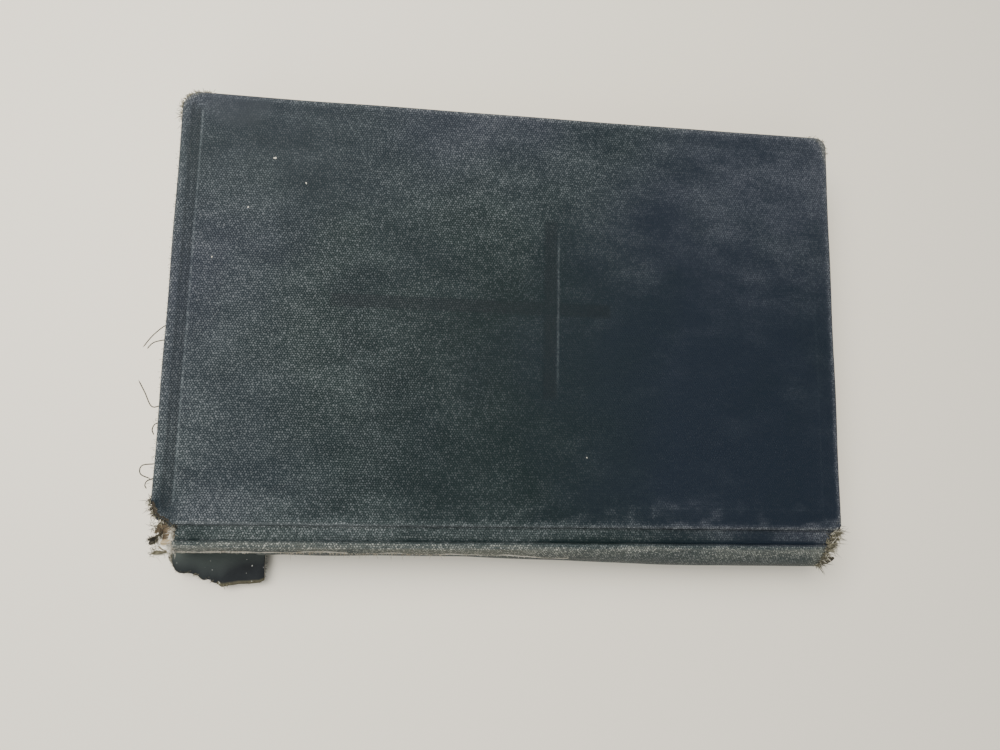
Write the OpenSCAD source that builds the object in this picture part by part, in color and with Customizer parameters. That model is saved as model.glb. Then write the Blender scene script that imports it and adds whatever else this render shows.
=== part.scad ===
// Old cloth-bound hardback book, closed and lying on its back cover.
// X runs along the spine with the head at +X, Y runs from the spine to the
// fore-edge, and Z is up. The origin is the middle of the back cover's outer face.

/* [Boards] */
// Length of each board along the spine
board_len = 189.2; // [150:0.2:240]
// Width of each board from the joint to the fore-edge
board_w = 118; // [90:0.5:170]
// Thickness of each board
board_t = 2.6; // [2.4:0.1:3.6]
// Rounding of the board's edge beside the joint
edge_r = 1; // [0.6:0.1:1.2]
// Slight rounding of the board's three outer edges
rim_r = 0.5; // [0.2:0.1:1]
// Worn rounding of the front cover's corner at the tail and fore-edge
tail_corner_r = 4.5; // [1:0.5:8]
// Worn rounding of the front cover's corner at the head and fore-edge
head_corner_r = 3; // [1:0.5:8]
// Rounding of the back cover's corners, which wear has reached less
back_corner_r = 2; // [0.5:0.5:6]
// Size of the piece that has broken off the front cover at the tail, beside the joint
break_size = 6; // [2:0.5:9]

/* [Pages] */
// Thickness of all pages with their two flyleaves, pressed together
block_t = 17.6; // [10:0.2:40]
// How far the boards stand out beyond the pages on three sides
square_w = 3; // [1.5:0.5:5]
// Depth of the rounded back between its two shoulders
round_depth = 3.3; // [2.5:0.1:5]

/* [Joints] */
// Gap between a board's edge and the shoulder of the pages
joint_w = 5; // [4:0.25:8]
// Straight wall between the groove and the ridge over the shoulder
joint_wall = 0.2; // [0:0.1:1]
// Inner radius of the cloth where it turns over the shoulder
ridge_r = 0.7; // [0.5:0.05:0.9]

/* [Cloth and papers] */
// Thickness of the book cloth
cloth_t = 0.4; // [0.3:0.05:0.5]
// Thickness of the endpapers
paper_t = 0.2; // [0.1:0.05:0.3]
// Thickness of the open-weave mull that ties the pages to the boards
mull_t = 0.2; // [0.1:0.05:0.3]
// Thickness of the brown paper lining on the rounded back
lining_t = 0.2; // [0.1:0.05:0.3]
// Thickness of the card strip inside the spine cloth
inlay_t = 0.6; // [0.4:0.1:0.8]
// Width of the cloth that is turned in over the boards
turn_in_w = 15; // [10:1:20]
// Width of the mull that is glued to each board
mull_flap_w = 25; // [15:1:35]
// How much shorter the mull is than the clear space between the turn-ins
mull_short = 1; // [0:0.5:10]
// How much shorter the lining is than the pages, at each end
lining_short = 1.5; // [0.5:0.5:10]

/* [Head and tail bands] */
// Radius of the bead on each band
bead_r = 0.7; // [0.4:0.1:1]
// Width of the tape that glues a band to the pages
band_tape_w = 11; // [6:1:12]
// Angle that a band covers on each side of the back's middle
band_angle = 24; // [15:1:26]

/* [Spine cloth] */
// Hollow between the lining and the card inlay where the spine stands out fully
hollow_t = 1.9; // [1:0.1:2.4]
// Gap between the lining and the spine cloth where it has sunk onto the pages
sunk_gap = 0.05; // [0.02:0.01:0.2]
// Place along the spine where the sunken cloth starts to rise, going to the head
rise_from = -30; // [-60:1:0]
// Place along the spine where the cloth stands out fully
rise_to = 65; // [40:1:75]
// Place along the spine where the remaining card inlay starts
inlay_from = 18; // [10:1:40]

/* [Torn spine] */
// Place of the tear across the spine cloth, beside the loose flap
tear_x = -69; // [-80:1:-50]
// Width of the tears
tear_gap = 0.5; // [0.3:0.1:1]
// Place where the long tear under the front ridge ends
tear_end = 16; // [-20:1:30]
// Height of the long tear at the tail, below the ridge
tear_drop = 1.4; // [1:0.1:3]
// Fall of the long tear from the tail to its end
tear_fall = 2; // [0:0.1:4]
// Tail end of the loose flap, measured from the pages' tail
flap_past = 3.5; // [0:0.5:6]
// Height of the flap's lower face above the table
flap_z = 3.8; // [3.7:0.1:6]
// How much the flap arches upwards between its root and its free edge
flap_arch = 0.9; // [0:0.1:2]
// How far the spine cloth's front half is worn back at the tail, from the cover's end
tail_worn = 6.2; // [2:0.1:9]
// How far the spine cloth's front half is worn back at the head, from the cover's end
head_worn = 6; // [2:0.1:9]

/* [Blind stamping] */
// Depth of the stamped lines
stamp_depth = 0.12; // [0.05:0.01:0.2]
// Width of each line of the double border
rule_w = 0.9; // [0.4:0.1:1.5]
// Distance of the outer border line's middle from the cover's edges
rule_in = 3.2; // [2:0.1:6]
// Distance between the two border lines
rule_step = 1.7; // [1.6:0.1:4]
// Length of the cross's upright
cross_len = 79; // [40:1:120]
// Length of the cross's arm
cross_span = 52; // [30:1:80]
// Width of the cross's bars
cross_w = 4; // [2:0.2:8]
// Distance of the cross's arm from the middle of the cover, towards the head
cross_x = 9.3; // [-10:0.1:30]
// Distance of the cross's upright from the middle of the cover, towards the fore-edge
cross_y = 1.7; // [-5:0.1:5]
// Distance from the upright's head end to the arm
cross_top = 17.5; // [8:0.5:30]

/* [Hidden] */
$fn = 64;

cloth_color = [0.11, 0.14, 0.16];
page_color = [0.80, 0.74, 0.60];
paper_color = [0.84, 0.79, 0.68];
board_color = [0.55, 0.49, 0.40];
mull_color = [0.78, 0.75, 0.66];
lining_color = [0.50, 0.38, 0.25];
band_color = [0.72, 0.68, 0.58];

// Sizes in the XY plane
half_len = board_len / 2;
half_w = board_w / 2;
cover_half_len = half_len + cloth_t;
fore_y = half_w + cloth_t - square_w;
page_half_len = cover_half_len - square_w;
shoulder_y = -half_w - joint_w;
mull_half_len = half_len - turn_in_w - mull_short;

// Clearance between the card inlay and the cloth around it
inlay_gap = 0.05;
// Film of glue under the lining
glue_gap = 0.03;

// Heights
cover_t = cloth_t + board_t + paper_t;
total_t = 2 * cover_t + block_t;
mid_z = total_t / 2;
block_top = mid_z + block_t / 2;
board_z = block_top + paper_t;
board_top = board_z + board_t;

// Groove of the joint: two quarter turns with a flat between them
groove_r = board_t - edge_r - mull_t - cloth_t;
groove_z = board_top - edge_r;
groove_left_y = shoulder_y + mull_t + cloth_t + groove_r;
groove_right_y = -half_w - cloth_t - groove_r;

// Shoulder and rounded back of the pages
ear_z = groove_z + joint_wall;
ear_half = ear_z - mid_z;
back_r = (ear_half * ear_half + round_depth * round_depth) / (2 * round_depth);
back_y = shoulder_y - round_depth + back_r;
lining_r = back_r + mull_t + glue_gap + lining_t;

// Ridge of the cloth over the shoulder
ridge_y = shoulder_y + mull_t - ridge_r;
ridge_out = ridge_r + cloth_t;

// Places along the spine
page_tail = -page_half_len;
flap_tail = page_tail - flap_past;
worn_tail = -cover_half_len + tail_worn;
worn_head = cover_half_len - head_worn;

// Wear at the ends of the joints: beside the ridge, then beside the board
front_head_cut = 1.2;
back_tail_cut = [3, 1];
back_head_cut = [1.5, 0.6];

// A cut reaches this far past the solid that it cuts
over = 1;

function lerp(a, b, t) = a + (b - a) * t;
function clamp01(t) = min(1, max(0, t));
function smooth(t) = t * t * (3 - 2 * t);

// A ragged offset between -1 and 1 that changes from thread to thread
function ragged(k) = (sin(k * 137) + 0.6 * sin(k * 71 + 40)) / 1.6;

// Extrudes a section, drawn with Y to the right and Z up, along the spine
module along_spine(from, to) {
  translate([from, 0, 0])
    rotate([90, 0, 90])
      linear_extrude(to - from)
        children();
}

// Turns a front piece over into its place at the back
module at_back() {
  translate([0, 0, total_t])
    mirror([0, 0, 1])
      children();
}

// Part of a ring between two angles, less than half a turn apart
module ring_part(y, z, r_in, r_out, from, to) {
  reach = 4 * r_out;
  middle = (from + to) / 2;
  translate([y, z])
    intersection() {
      difference() {
        circle(r_out);
        circle(r_in);
      }
      polygon([
        [0, 0],
        reach * [cos(from), sin(from)],
        reach * [cos(middle), sin(middle)],
        reach * [cos(to), sin(to)]
      ]);
    }
}

// Waste outside a rounded corner whose sharp point is at the origin
module corner_waste(r) {
  difference() {
    translate([-over, -over])
      square(r + over);
    translate([r, r])
      circle(r);
  }
}

// Ragged line where the front cover's corner has broken off
module broken_corner() {
  edge = [[0, 1], [0.05, 0.68], [0.2, 0.5], [0.38, 0.29], [0.6, 0.22], [0.78, 0.08], [1, 0]];
  translate([-cover_half_len, -half_w])
    polygon(concat(
      [[-over, break_size]],
      break_size * edge,
      [[break_size, -2 * over], [-over, -2 * over]]
    ));
}

// Plan of a cover, grown on its three outer sides
module cover_plan(grow, tail_r, head_r, joint_r, broken) {
  x = half_len + grow;
  difference() {
    translate([-x, -half_w - 2 * cloth_t])
      square([2 * x, board_w + 2 * cloth_t + grow]);
    translate([-x, half_w + grow])
      mirror([0, 1])
        corner_waste(tail_r + grow);
    translate([x, half_w + grow])
      mirror([0, 1])
        mirror([1, 0])
          corner_waste(head_r + grow);
    translate([x, -half_w - cloth_t])
      mirror([1, 0])
        corner_waste(joint_r + grow);
    if (broken)
      broken_corner();
    else
      translate([-x, -half_w - cloth_t])
        corner_waste(joint_r + grow);
  }
}

// Section of a cover across the spine, from its inner face up
module cover_section(grow, joint_side_y) {
  top = board_top + grow;
  difference() {
    translate([joint_side_y, board_z])
      square([half_w + grow - joint_side_y, top - board_z]);
    translate([half_w + grow, top])
      rotate(180)
        corner_waste(rim_r + grow);
    translate([-half_w, board_top])
      intersection() {
        translate([-grow, grow])
          mirror([0, 1])
            corner_waste(edge_r + grow);
        translate([-2 * over, -board_t])
          square([edge_r + 2 * over, board_t + 2 * over]);
      }
  }
}

// Section of a cover along the spine, with both ends softened
module cover_long_section(grow) {
  x = half_len + grow;
  top = board_top + grow;
  difference() {
    translate([-x, board_z])
      square([2 * x, top - board_z]);
    for (side = [0, 1])
      mirror([side, 0])
        translate([x, top])
          rotate(180)
            corner_waste(rim_r + grow);
  }
}

// Solid where plan, cross section and long section all agree
module cover_solid(grow, joint_side_y, tail_r, head_r, joint_r, broken) {
  intersection() {
    translate([0, 0, board_z - over])
      linear_extrude(board_t + 2 * over)
        cover_plan(grow, tail_r, head_r, joint_r, broken);
    along_spine(-half_len - 2, half_len + 2)
      cover_section(grow, joint_side_y);
    translate([0, half_w + 2, 0])
      rotate([90, 0, 0])
        linear_extrude(board_w + 4)
          cover_long_section(grow);
  }
}

// Board with shallow steps, where the turned-in cloth and the mull were pressed in
module board(tail_r, head_r, broken) {
  difference() {
    cover_solid(0, -half_w, tail_r, head_r, edge_r, broken);
    difference() {
      translate([-half_len - over, -half_w - over, board_z - over])
        cube([board_len + 2 * over, board_w + 2 * over, over + cloth_t]);
      translate([-half_len + turn_in_w, -half_w - 2 * over, board_z - 2 * over])
        cube([board_len - 2 * turn_in_w, board_w - turn_in_w + 2 * over, 2 * over + board_t]);
    }
    translate([-mull_half_len, -half_w - over, board_z - over])
      cube([2 * mull_half_len, mull_flap_w + over, over + mull_t]);
  }
}

// Cloth on a board: the outer face, three wrapped edges and the turned-in border
module cover_cloth(tail_r, head_r, broken) {
  difference() {
    cover_solid(cloth_t, -half_w - cloth_t, tail_r, head_r, edge_r, broken);
    difference() {
      cover_solid(0, -half_w, tail_r, head_r, edge_r, false);
      translate([-cover_half_len, -half_w, board_z])
        cube([turn_in_w + cloth_t, board_w + cloth_t, cloth_t]);
      translate([half_len - turn_in_w, -half_w, board_z])
        cube([turn_in_w + cloth_t, board_w + cloth_t, cloth_t]);
      translate([-half_len, half_w - turn_in_w, board_z])
        cube([board_len, turn_in_w + cloth_t, cloth_t]);
    }
    translate([-half_len - over, -half_w - over, board_z - over])
      cube([board_len + 2 * over, over, groove_z - board_z + over]);
  }
}

// Border line as a thin frame at a distance from the cover's edges
module border_line(inset) {
  x = cover_half_len - inset;
  y = half_w + cloth_t / 2 - inset;
  difference() {
    square([2 * x + rule_w, 2 * y + rule_w], center = true);
    square([2 * x - rule_w, 2 * y - rule_w], center = true);
  }
}

// Blind-stamped pattern: a double border and a plain Latin cross
module stamped_lines() {
  border_line(rule_in);
  border_line(rule_in + rule_step);
  translate([cross_x + cross_top - cross_len, cross_y - cross_w / 2])
    square([cross_len, cross_w]);
  translate([cross_x - cross_w / 2, cross_y - cross_span / 2])
    square([cross_w, cross_span]);
}

module pastedown(broken) {
  translate([0, 0, block_top])
    linear_extrude(paper_t)
      intersection() {
        translate([-page_half_len, -half_w])
          square([2 * page_half_len, fore_y + half_w]);
        cover_plan(0, tail_corner_r, head_corner_r, 0, broken);
      }
}

module mull_flap() {
  translate([-mull_half_len, -half_w, board_z])
    cube([2 * mull_half_len, mull_flap_w, mull_t]);
}

// Ragged cut across a joint, with its threads ending at slightly different places
module ragged_cut(from, to, side) {
  count = 12;
  threads = [
    for (k = [0 : count])
      let (t = k / count)
        [
          lerp(from[0], to[0], t) + 0.35 * ragged(k + side),
          lerp(from[1], to[1], t)
        ]
  ];
  far = side * (cover_half_len + 4);
  polygon(concat(threads, [[far, to[1]], [far, from[1]]]));
}

// Cloth of a joint from the ridge to the board's edge
module joint_cloth_section() {
  ring_part(ridge_y, ear_z, ridge_r, ridge_out, 0, 90);
  translate([shoulder_y + mull_t, groove_z])
    square([cloth_t, joint_wall]);
  ring_part(groove_left_y, groove_z, groove_r, groove_r + cloth_t, 180, 270);
  translate([groove_left_y, groove_z - groove_r - cloth_t])
    square([groove_right_y - groove_left_y, cloth_t]);
  ring_part(groove_right_y, groove_z, groove_r, groove_r + cloth_t, 270, 360);
}

// Joint: cloth in front, with mull and endpaper crossing flat behind it
module joint_strip(tail_cut, head_cut) {
  joint_y = -half_w - cloth_t;
  difference() {
    along_spine(-cover_half_len, cover_half_len)
      joint_cloth_section();
    translate([0, 0, block_top - over])
      linear_extrude(cover_t + 2 * over) {
        ragged_cut([-cover_half_len + tail_cut[0], ridge_y - over],
          [-cover_half_len + tail_cut[1], -half_w + over], -1);
        ragged_cut([cover_half_len - head_cut[0], ridge_y - over],
          [cover_half_len - head_cut[1], -half_w + over], 1);
      }
  }
  along_spine(page_tail, -page_tail)
    translate([shoulder_y, block_top])
      square([-half_w - shoulder_y, paper_t + mull_t]);
}

// Section of the pages: hollow fore-edge, flat sides, shoulders and rounded back
module pages_section() {
  half_t = block_t / 2 - paper_t;
  fore_arc = sqrt(back_r * back_r - half_t * half_t);
  difference() {
    translate([shoulder_y, mid_z - half_t])
      square([fore_y - shoulder_y, 2 * half_t]);
    translate([fore_y + fore_arc, mid_z])
      circle(back_r, $fn = 128);
  }
  back_segment(back_r);
}

// Segment of the rounded back beyond the shoulders, out to a radius
module back_segment(r) {
  intersection() {
    translate([back_y, mid_z])
      circle(r, $fn = 128);
    translate([shoulder_y - 3 * round_depth, mid_z - ear_half])
      square([3 * round_depth, 2 * ear_half]);
  }
}

// Thin layer on the rounded back between two radii
module back_layer(r_in, r_out, half_angle) {
  ring_part(back_y, mid_z, r_in, r_out, 180 - half_angle, 180 + half_angle);
}

module text_block() {
  color(page_color)
    along_spine(page_tail, -page_tail)
      pages_section();
}

module flyleaf() {
  translate([page_tail, shoulder_y, block_top - paper_t])
    cube([2 * page_half_len, fore_y - shoulder_y, paper_t]);
}

module front_flyleaf() {
  color(paper_color)
    flyleaf();
}

module back_flyleaf() {
  color(paper_color)
    at_back()
      flyleaf();
}

// Mull on the rounded back, folded over both shoulders down to the joints
module mull() {
  ear_angle = asin(ear_half / back_r);
  color(mull_color)
    along_spine(-mull_half_len, mull_half_len) {
      back_layer(back_r, back_r + mull_t, ear_angle);
      for (side = [0, 1])
        translate([0, side * total_t])
          mirror([0, side]) {
            ring_part(shoulder_y, ear_z, 0, mull_t, 0, 200 - ear_angle);
            translate([shoulder_y, board_z + mull_t])
              square([mull_t, ear_z - board_z - mull_t]);
          }
    }
}

module spine_lining() {
  lining_angle = asin(ear_half / lining_r) - 1;
  color(lining_color)
    along_spine(page_tail + lining_short, -page_tail - lining_short)
      back_layer(back_r + mull_t + glue_gap, lining_r, lining_angle);
}

// Band: a tape glued round the back and a bead standing on the pages' end
module band() {
  tape_from = page_half_len - band_tape_w;
  bead_x = page_half_len + bead_r;
  along_spine(tape_from, bead_x - bead_r / 2)
    back_layer(back_r, back_r + mull_t, band_angle - 1);
  translate([0, back_y, mid_z])
    rotate([0, 90, 0])
      rotate([0, 0, -90 - band_angle])
        rotate_extrude(angle = 2 * band_angle, $fn = 128)
          translate([back_r + mull_t - bead_r, bead_x])
            circle(bead_r, $fn = 24);
}

module headband() {
  color(band_color)
    band();
}

module tailband() {
  color(band_color)
    mirror([1, 0, 0])
      band();
}

// Spine cloth as a sheet of cells

// Space between the lining and the cloth at a place along the spine
function spine_gap(x) =
  lerp(sunk_gap, hollow_t + inlay_t, smooth(clamp01((x - rise_from) / (rise_to - rise_from))));

// How far the cloth's outer face stands behind the ridge's centre
function stand_out(x) =
  ridge_y - (back_y - lining_r - spine_gap(x) - cloth_t);

// Centre and radius of the arc that touches both ridges and stands out that far
function arc_depth(x) =
  let (g = stand_out(x) - ridge_out)
    (ear_half * ear_half - g * g) / (2 * g);
function arc_y(x) = ridge_y + arc_depth(x);
function arc_r(x) = arc_depth(x) + stand_out(x);
function arc_angle(x) = atan2(ear_half, arc_depth(x));
function angle_at(x, z) = asin((z - mid_z) / arc_r(x));

// Point on the arc, sunk below the cloth's outer face by a depth
function arc_point(x, angle, depth) =
  [arc_y(x) - (arc_r(x) - depth) * cos(angle), mid_z + (arc_r(x) - depth) * sin(angle)];

// Point on the cloth's turn over a shoulder; side is 1 at the front and -1 at the back
function ridge_point(side, angle, depth) =
  [
    ridge_y + (ridge_out - depth) * cos(angle),
    mid_z + side * (ear_half + (ridge_out - depth) * sin(angle))
  ];

// Rows of cells round the spine, from the front ridge to the back ridge
ridge_rows = 4;
strip_rows = 2;
slit_row = ridge_rows + strip_rows;
body_rows = 11;
root_row = slit_row + 1 + body_rows;
foot_rows = 2;
low_ridge_row = root_row + foot_rows;
last_row = low_ridge_row + ridge_rows;

// Columns of cells along the spine, from the tail to the head
flap_cols = 10;
sunk_cols = 9;
rise_cols = 10;
sunk_col = flap_cols + 1;
rise_col = sunk_col + sunk_cols;
head_col = rise_col + rise_cols;
last_col = head_col + 2;

// Heights of the long tear and of the line that the flap hangs from
function tear_z(x) =
  ear_z - tear_drop - tear_fall * clamp01((x - tear_x) / (tear_end - tear_x));
bend_r = 0.8;
root_z = flap_z - bend_r;

// Point of the spine's section in a row, for a sheet that is whole there
function spine_point(x, row, depth) =
  let (
    top = arc_angle(x),
    slit = angle_at(x, tear_z(x)),
    slit_end = angle_at(x, tear_z(x) - tear_gap),
    root = angle_at(x, root_z)
  )
    row <= ridge_rows ? ridge_point(1, lerp(90, 180 - top, row / ridge_rows), depth) :
    row <= slit_row ? arc_point(x, lerp(top, slit, (row - ridge_rows) / strip_rows), depth) :
    row <= root_row ?
      arc_point(x, lerp(slit_end, root, (row - slit_row - 1) / body_rows), depth) :
    row <= low_ridge_row ?
      arc_point(x, lerp(root, -top, (row - root_row) / foot_rows), depth) :
    ridge_point(-1, lerp(180 - top, 90, (row - low_ridge_row) / ridge_rows), depth);

// Width of the loose flap, from its root to its ragged free edge
flap_outline = [[-96, 3], [-94, 5.6], [-92, 7], [-87.5, 7.9], [-84, 9.1], [-82, 10.8],
  [-78, 10.5], [-72.5, 10.1], [-69, 9.4]];
bend_rows = 3;
function flap_width(x) = lookup(x, flap_outline) + 0.25 * ragged(x * 3);

// Point of the flap's section: a quarter bend, then a gently arched blade
function flap_point(x, row, depth) =
  let (
    steps = root_row - row,
    root_y = arc_point(x, angle_at(x, root_z), 0)[0],
    turn = 90 * min(1, steps / bend_rows),
    out = clamp01((steps - bend_rows) / (body_rows - bend_rows)),
    reach = out * flap_width(x),
    rise = flap_arch * sin(180 * out)
  )
    [
      root_y - bend_r + (bend_r + depth) * cos(turn) - reach,
      root_z + (bend_r + depth) * sin(turn) + rise
    ];

function on_flap(col, row) = col <= flap_cols && row > slit_row && row < root_row;

// Place along the spine of each end of a row; the front half is worn back and ragged
function tail_end(row) =
  row <= slit_row ? worn_tail + 0.5 * ragged(row) :
  row <= root_row ? flap_tail + 0.35 * ragged(row) :
  lerp(flap_tail, page_tail, (row - root_row) / (last_row - root_row));
function head_end(row) =
  let (t = clamp01(row / (0.7 * last_row)))
    lerp(worn_head, cover_half_len, smooth(t)) + (t < 0.8 ? 0.4 * ragged(row) : 0);
function column_x(col, row) =
  col <= flap_cols ? lerp(tail_end(row), tear_x, col / flap_cols) :
  col <= rise_col ? lerp(tear_x + tear_gap, tear_end, (col - sunk_col) / sunk_cols) :
  col <= head_col ? lerp(tear_end, head_end(row), (col - rise_col) / rise_cols) :
  col < last_col ? head_end(row) :
  head_end(row) - turn_in_w;

// Past the head the cloth is folded back inside, round the end of the card inlay
fold_depth = 2 * cloth_t + inlay_t + 2 * inlay_gap;

// Point on one face of the cloth; inner is 0 on the outer face and 1 on the inner face
function cloth_point(col, row, inner) =
  let (
    x = column_x(col, row),
    folded = col > head_col,
    mitre = col == head_col || col == head_col + 1 ? inner * cloth_t : 0,
    depth = folded ? fold_depth - inner * cloth_t : inner * cloth_t,
    section = on_flap(col, row) ? flap_point(x, row, depth) : spine_point(x, row, depth)
  )
    [x - mitre, section[0], section[1]];

// A cell of cloth is there unless it is torn away, or the fold at the head has worn through
fold_first_row = ceil(0.6 * last_row);
function cloth_there(col, row) =
  col < flap_cols ? row != slit_row :
  col == flap_cols ? row < slit_row || row >= root_row :
  col < rise_col ? row != slit_row :
  col < head_col ? true :
  row >= fold_first_row && row < root_row;

// Card inlay behind the cloth, from its torn end to the fold at the head
inlay_cols = 9;
inlay_rows = 14;
inlay_half = ear_half - ridge_out - edge_r;
inlay_head = cover_half_len - 2 * cloth_t - inlay_gap;
function inlay_point(col, row, inner) =
  let (
    from = inlay_from + 1.5 * ragged(row),
    x = lerp(from, inlay_head, col / inlay_cols),
    z = lerp(mid_z + inlay_half, mid_z - inlay_half, row / inlay_rows),
    depth = cloth_t + inlay_gap + inner * inlay_t,
    section = arc_point(x, angle_at(x, z), depth)
  )
    [x, section[0], section[1]];

// Solid from a grid of point pairs, one on each face. Cells marked false are left
// out, and the solid is closed along every edge that this opens.
module sheet(pairs, present) {
  cols = len(present);
  rows = len(present[0]);
  function id(col, row, face) = (col * (rows + 1) + row) * 2 + face;
  function there(col, row) =
    col >= 0 && col < cols && row >= 0 && row < rows && present[col][row];
  function wall(a, b) = [[b[0], a[0], a[1]], [b[0], a[1], b[1]]];
  points = [
    for (column = pairs)
      for (pair = column)
        each pair
  ];
  faces = [
    for (col = [0 : cols - 1])
      for (row = [0 : rows - 1])
        if (there(col, row))
          let (
            a = [id(col, row, 0), id(col, row, 1)],
            b = [id(col + 1, row, 0), id(col + 1, row, 1)],
            c = [id(col + 1, row + 1, 0), id(col + 1, row + 1, 1)],
            d = [id(col, row + 1, 0), id(col, row + 1, 1)],
            skins = [
              [a[0], b[0], c[0]],
              [a[0], c[0], d[0]],
              [a[1], c[1], b[1]],
              [a[1], d[1], c[1]]
            ]
          )
            each concat(
              skins,
              there(col, row - 1) ? [] : wall(a, b),
              there(col + 1, row) ? [] : wall(b, c),
              there(col, row + 1) ? [] : wall(c, d),
              there(col - 1, row) ? [] : wall(d, a)
            )
  ];
  polyhedron(points, faces, convexity = 6);
}

module spine_cloth() {
  pairs = [
    for (col = [0 : last_col])
      [for (row = [0 : last_row]) [for (inner = [0, 1]) cloth_point(col, row, inner)]]
  ];
  present = [
    for (col = [0 : last_col - 1])
      [for (row = [0 : last_row - 1]) cloth_there(col, row)]
  ];
  color(cloth_color)
    sheet(pairs, present);
}

module spine_inlay() {
  pairs = [
    for (col = [0 : inlay_cols])
      [for (row = [0 : inlay_rows]) [for (inner = [0, 1]) inlay_point(col, row, inner)]]
  ];
  present = [
    for (col = [0 : inlay_cols - 1])
      [for (row = [0 : inlay_rows - 1]) true]
  ];
  color(board_color)
    sheet(pairs, present);
}

module front_joint() {
  color(cloth_color)
    joint_strip([tail_worn, tail_worn], [head_worn, front_head_cut]);
}

module back_joint() {
  color(cloth_color)
    at_back()
      joint_strip(back_tail_cut, back_head_cut);
}

module front_board() {
  color(board_color)
    board(tail_corner_r, head_corner_r, true);
}

module back_board() {
  color(board_color)
    at_back()
      board(back_corner_r, back_corner_r, false);
}

module front_cloth() {
  color(cloth_color)
    difference() {
      cover_cloth(tail_corner_r, head_corner_r, true);
      translate([0, 0, total_t - stamp_depth])
        linear_extrude(over)
          stamped_lines();
    }
}

module back_cloth() {
  color(cloth_color)
    at_back()
      cover_cloth(back_corner_r, back_corner_r, false);
}

module front_pastedown() {
  color(paper_color)
    pastedown(true);
}

module back_pastedown() {
  color(paper_color)
    at_back()
      pastedown(false);
}

module front_mull_flap() {
  color(mull_color)
    mull_flap();
}

module back_mull_flap() {
  color(mull_color)
    at_back()
      mull_flap();
}

text_block();
front_flyleaf();
back_flyleaf();
mull();
spine_lining();
headband();
tailband();
spine_inlay();
spine_cloth();
front_joint();
back_joint();
front_board();
front_cloth();
front_pastedown();
front_mull_flap();
back_board();
back_cloth();
back_pastedown();
back_mull_flap();
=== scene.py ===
# %% [markdown]
# # An old cloth-bound hardback book
# The book lies closed on its back cover. X runs along the spine with the head at +X, Y runs from
# the spine to the fore-edge and Z is up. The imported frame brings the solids, and this script
# dresses them: grained book cloth, paper edges, torn spine cloth and frayed threads.

# %% Load the frame
import bmesh
import bpy
import numpy as np
from mathutils import Matrix, Vector


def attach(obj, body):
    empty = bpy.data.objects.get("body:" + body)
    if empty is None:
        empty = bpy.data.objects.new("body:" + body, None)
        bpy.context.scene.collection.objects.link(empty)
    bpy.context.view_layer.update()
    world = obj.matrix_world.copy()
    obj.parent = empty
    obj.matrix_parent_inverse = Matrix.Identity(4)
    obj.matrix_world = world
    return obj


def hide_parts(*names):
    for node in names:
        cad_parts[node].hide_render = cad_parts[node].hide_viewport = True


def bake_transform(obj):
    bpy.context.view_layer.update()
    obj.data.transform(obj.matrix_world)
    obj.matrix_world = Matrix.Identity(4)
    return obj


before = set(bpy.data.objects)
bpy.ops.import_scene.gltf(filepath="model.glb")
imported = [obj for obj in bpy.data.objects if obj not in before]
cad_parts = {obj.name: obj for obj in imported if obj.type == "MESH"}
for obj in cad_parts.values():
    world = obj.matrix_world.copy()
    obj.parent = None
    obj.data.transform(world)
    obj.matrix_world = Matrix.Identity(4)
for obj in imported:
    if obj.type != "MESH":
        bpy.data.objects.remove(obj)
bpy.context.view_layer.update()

scene = bpy.context.scene
print("solids loaded:", len(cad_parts))

# %% [markdown]
# ## Camera, table and light
# The photo looks almost straight down through a wide phone lens. The camera's place and its two
# axes were worked out from the four corners of the cover. They come first, so that every piece
# can be judged from there.

# %% Camera
EYE = Vector((-0.026165, -0.042500, 0.215949))      # the camera's place in metres
RIGHT = Vector((0.99337, 0.01936, 0.11333))         # towards the picture's right side
AHEAD = Vector((0.10996, 0.12759, -0.98571))        # the way it looks
up = RIGHT.cross(AHEAD)

lens = bpy.data.cameras.new("camera")
lens.lens = 25.2
lens.sensor_width = 36.0
camera = bpy.data.objects.new("camera", lens)
turn = Matrix((RIGHT, up, -AHEAD)).transposed().to_4x4()
camera.matrix_world = Matrix.Translation(EYE) @ turn
scene.collection.objects.link(camera)
scene.camera = camera
print("camera height (mm):", round(EYE.z * 1000, 1))

# %% [markdown]
# A material is a tree of nodes. A flow stands for one value that runs through such a tree, so a
# finish can be written as a formula: each sum, difference or product of flows adds a Math node.

# %% Flows through a node tree
class Flow:
    """A value in a node tree, held by the socket that it comes out of."""

    def __init__(self, socket):
        self.socket = socket
        self.tree = socket.id_data

    def __add__(self, other):
        return maths("ADD", self, other)

    def __sub__(self, other):
        return maths("SUBTRACT", self, other)

    def __rsub__(self, other):
        return maths("SUBTRACT", other, self)

    def __mul__(self, other):
        return maths("MULTIPLY", self, other)

    def __abs__(self):
        return maths("ABSOLUTE", self)


def add_node(tree, kind, **values):
    """Adds a node. Values name its properties, or its inputs where they start with in_."""
    node = tree.nodes.new("ShaderNode" + kind)
    for key, value in values.items():
        if key.startswith("in_"):
            node.inputs[key[3:].replace("_", " ")].default_value = value
        else:
            setattr(node, key, value)
    return node


def source(tree, kind, output, **values):
    """One output of a new node, as a flow."""
    return Flow(add_node(tree, kind, **values).outputs[output])


def feed(value, socket):
    """Gives an input a flow, a number, a vector or a colour."""
    if isinstance(value, Flow):
        value.tree.links.new(value.socket, socket)
    elif isinstance(value, tuple) and len(value) < len(socket.default_value):
        socket.default_value = (*value, 1.0)
    else:
        socket.default_value = value


def maths(operation, a, b=None, clamp=False):
    """One Math node. a and b are flows or numbers."""
    tree = (a if isinstance(a, Flow) else b).tree
    node = add_node(tree, "Math", operation=operation, use_clamp=clamp)
    feed(a, node.inputs[0])
    if b is not None:
        feed(b, node.inputs[1])
    return Flow(node.outputs[0])


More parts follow.
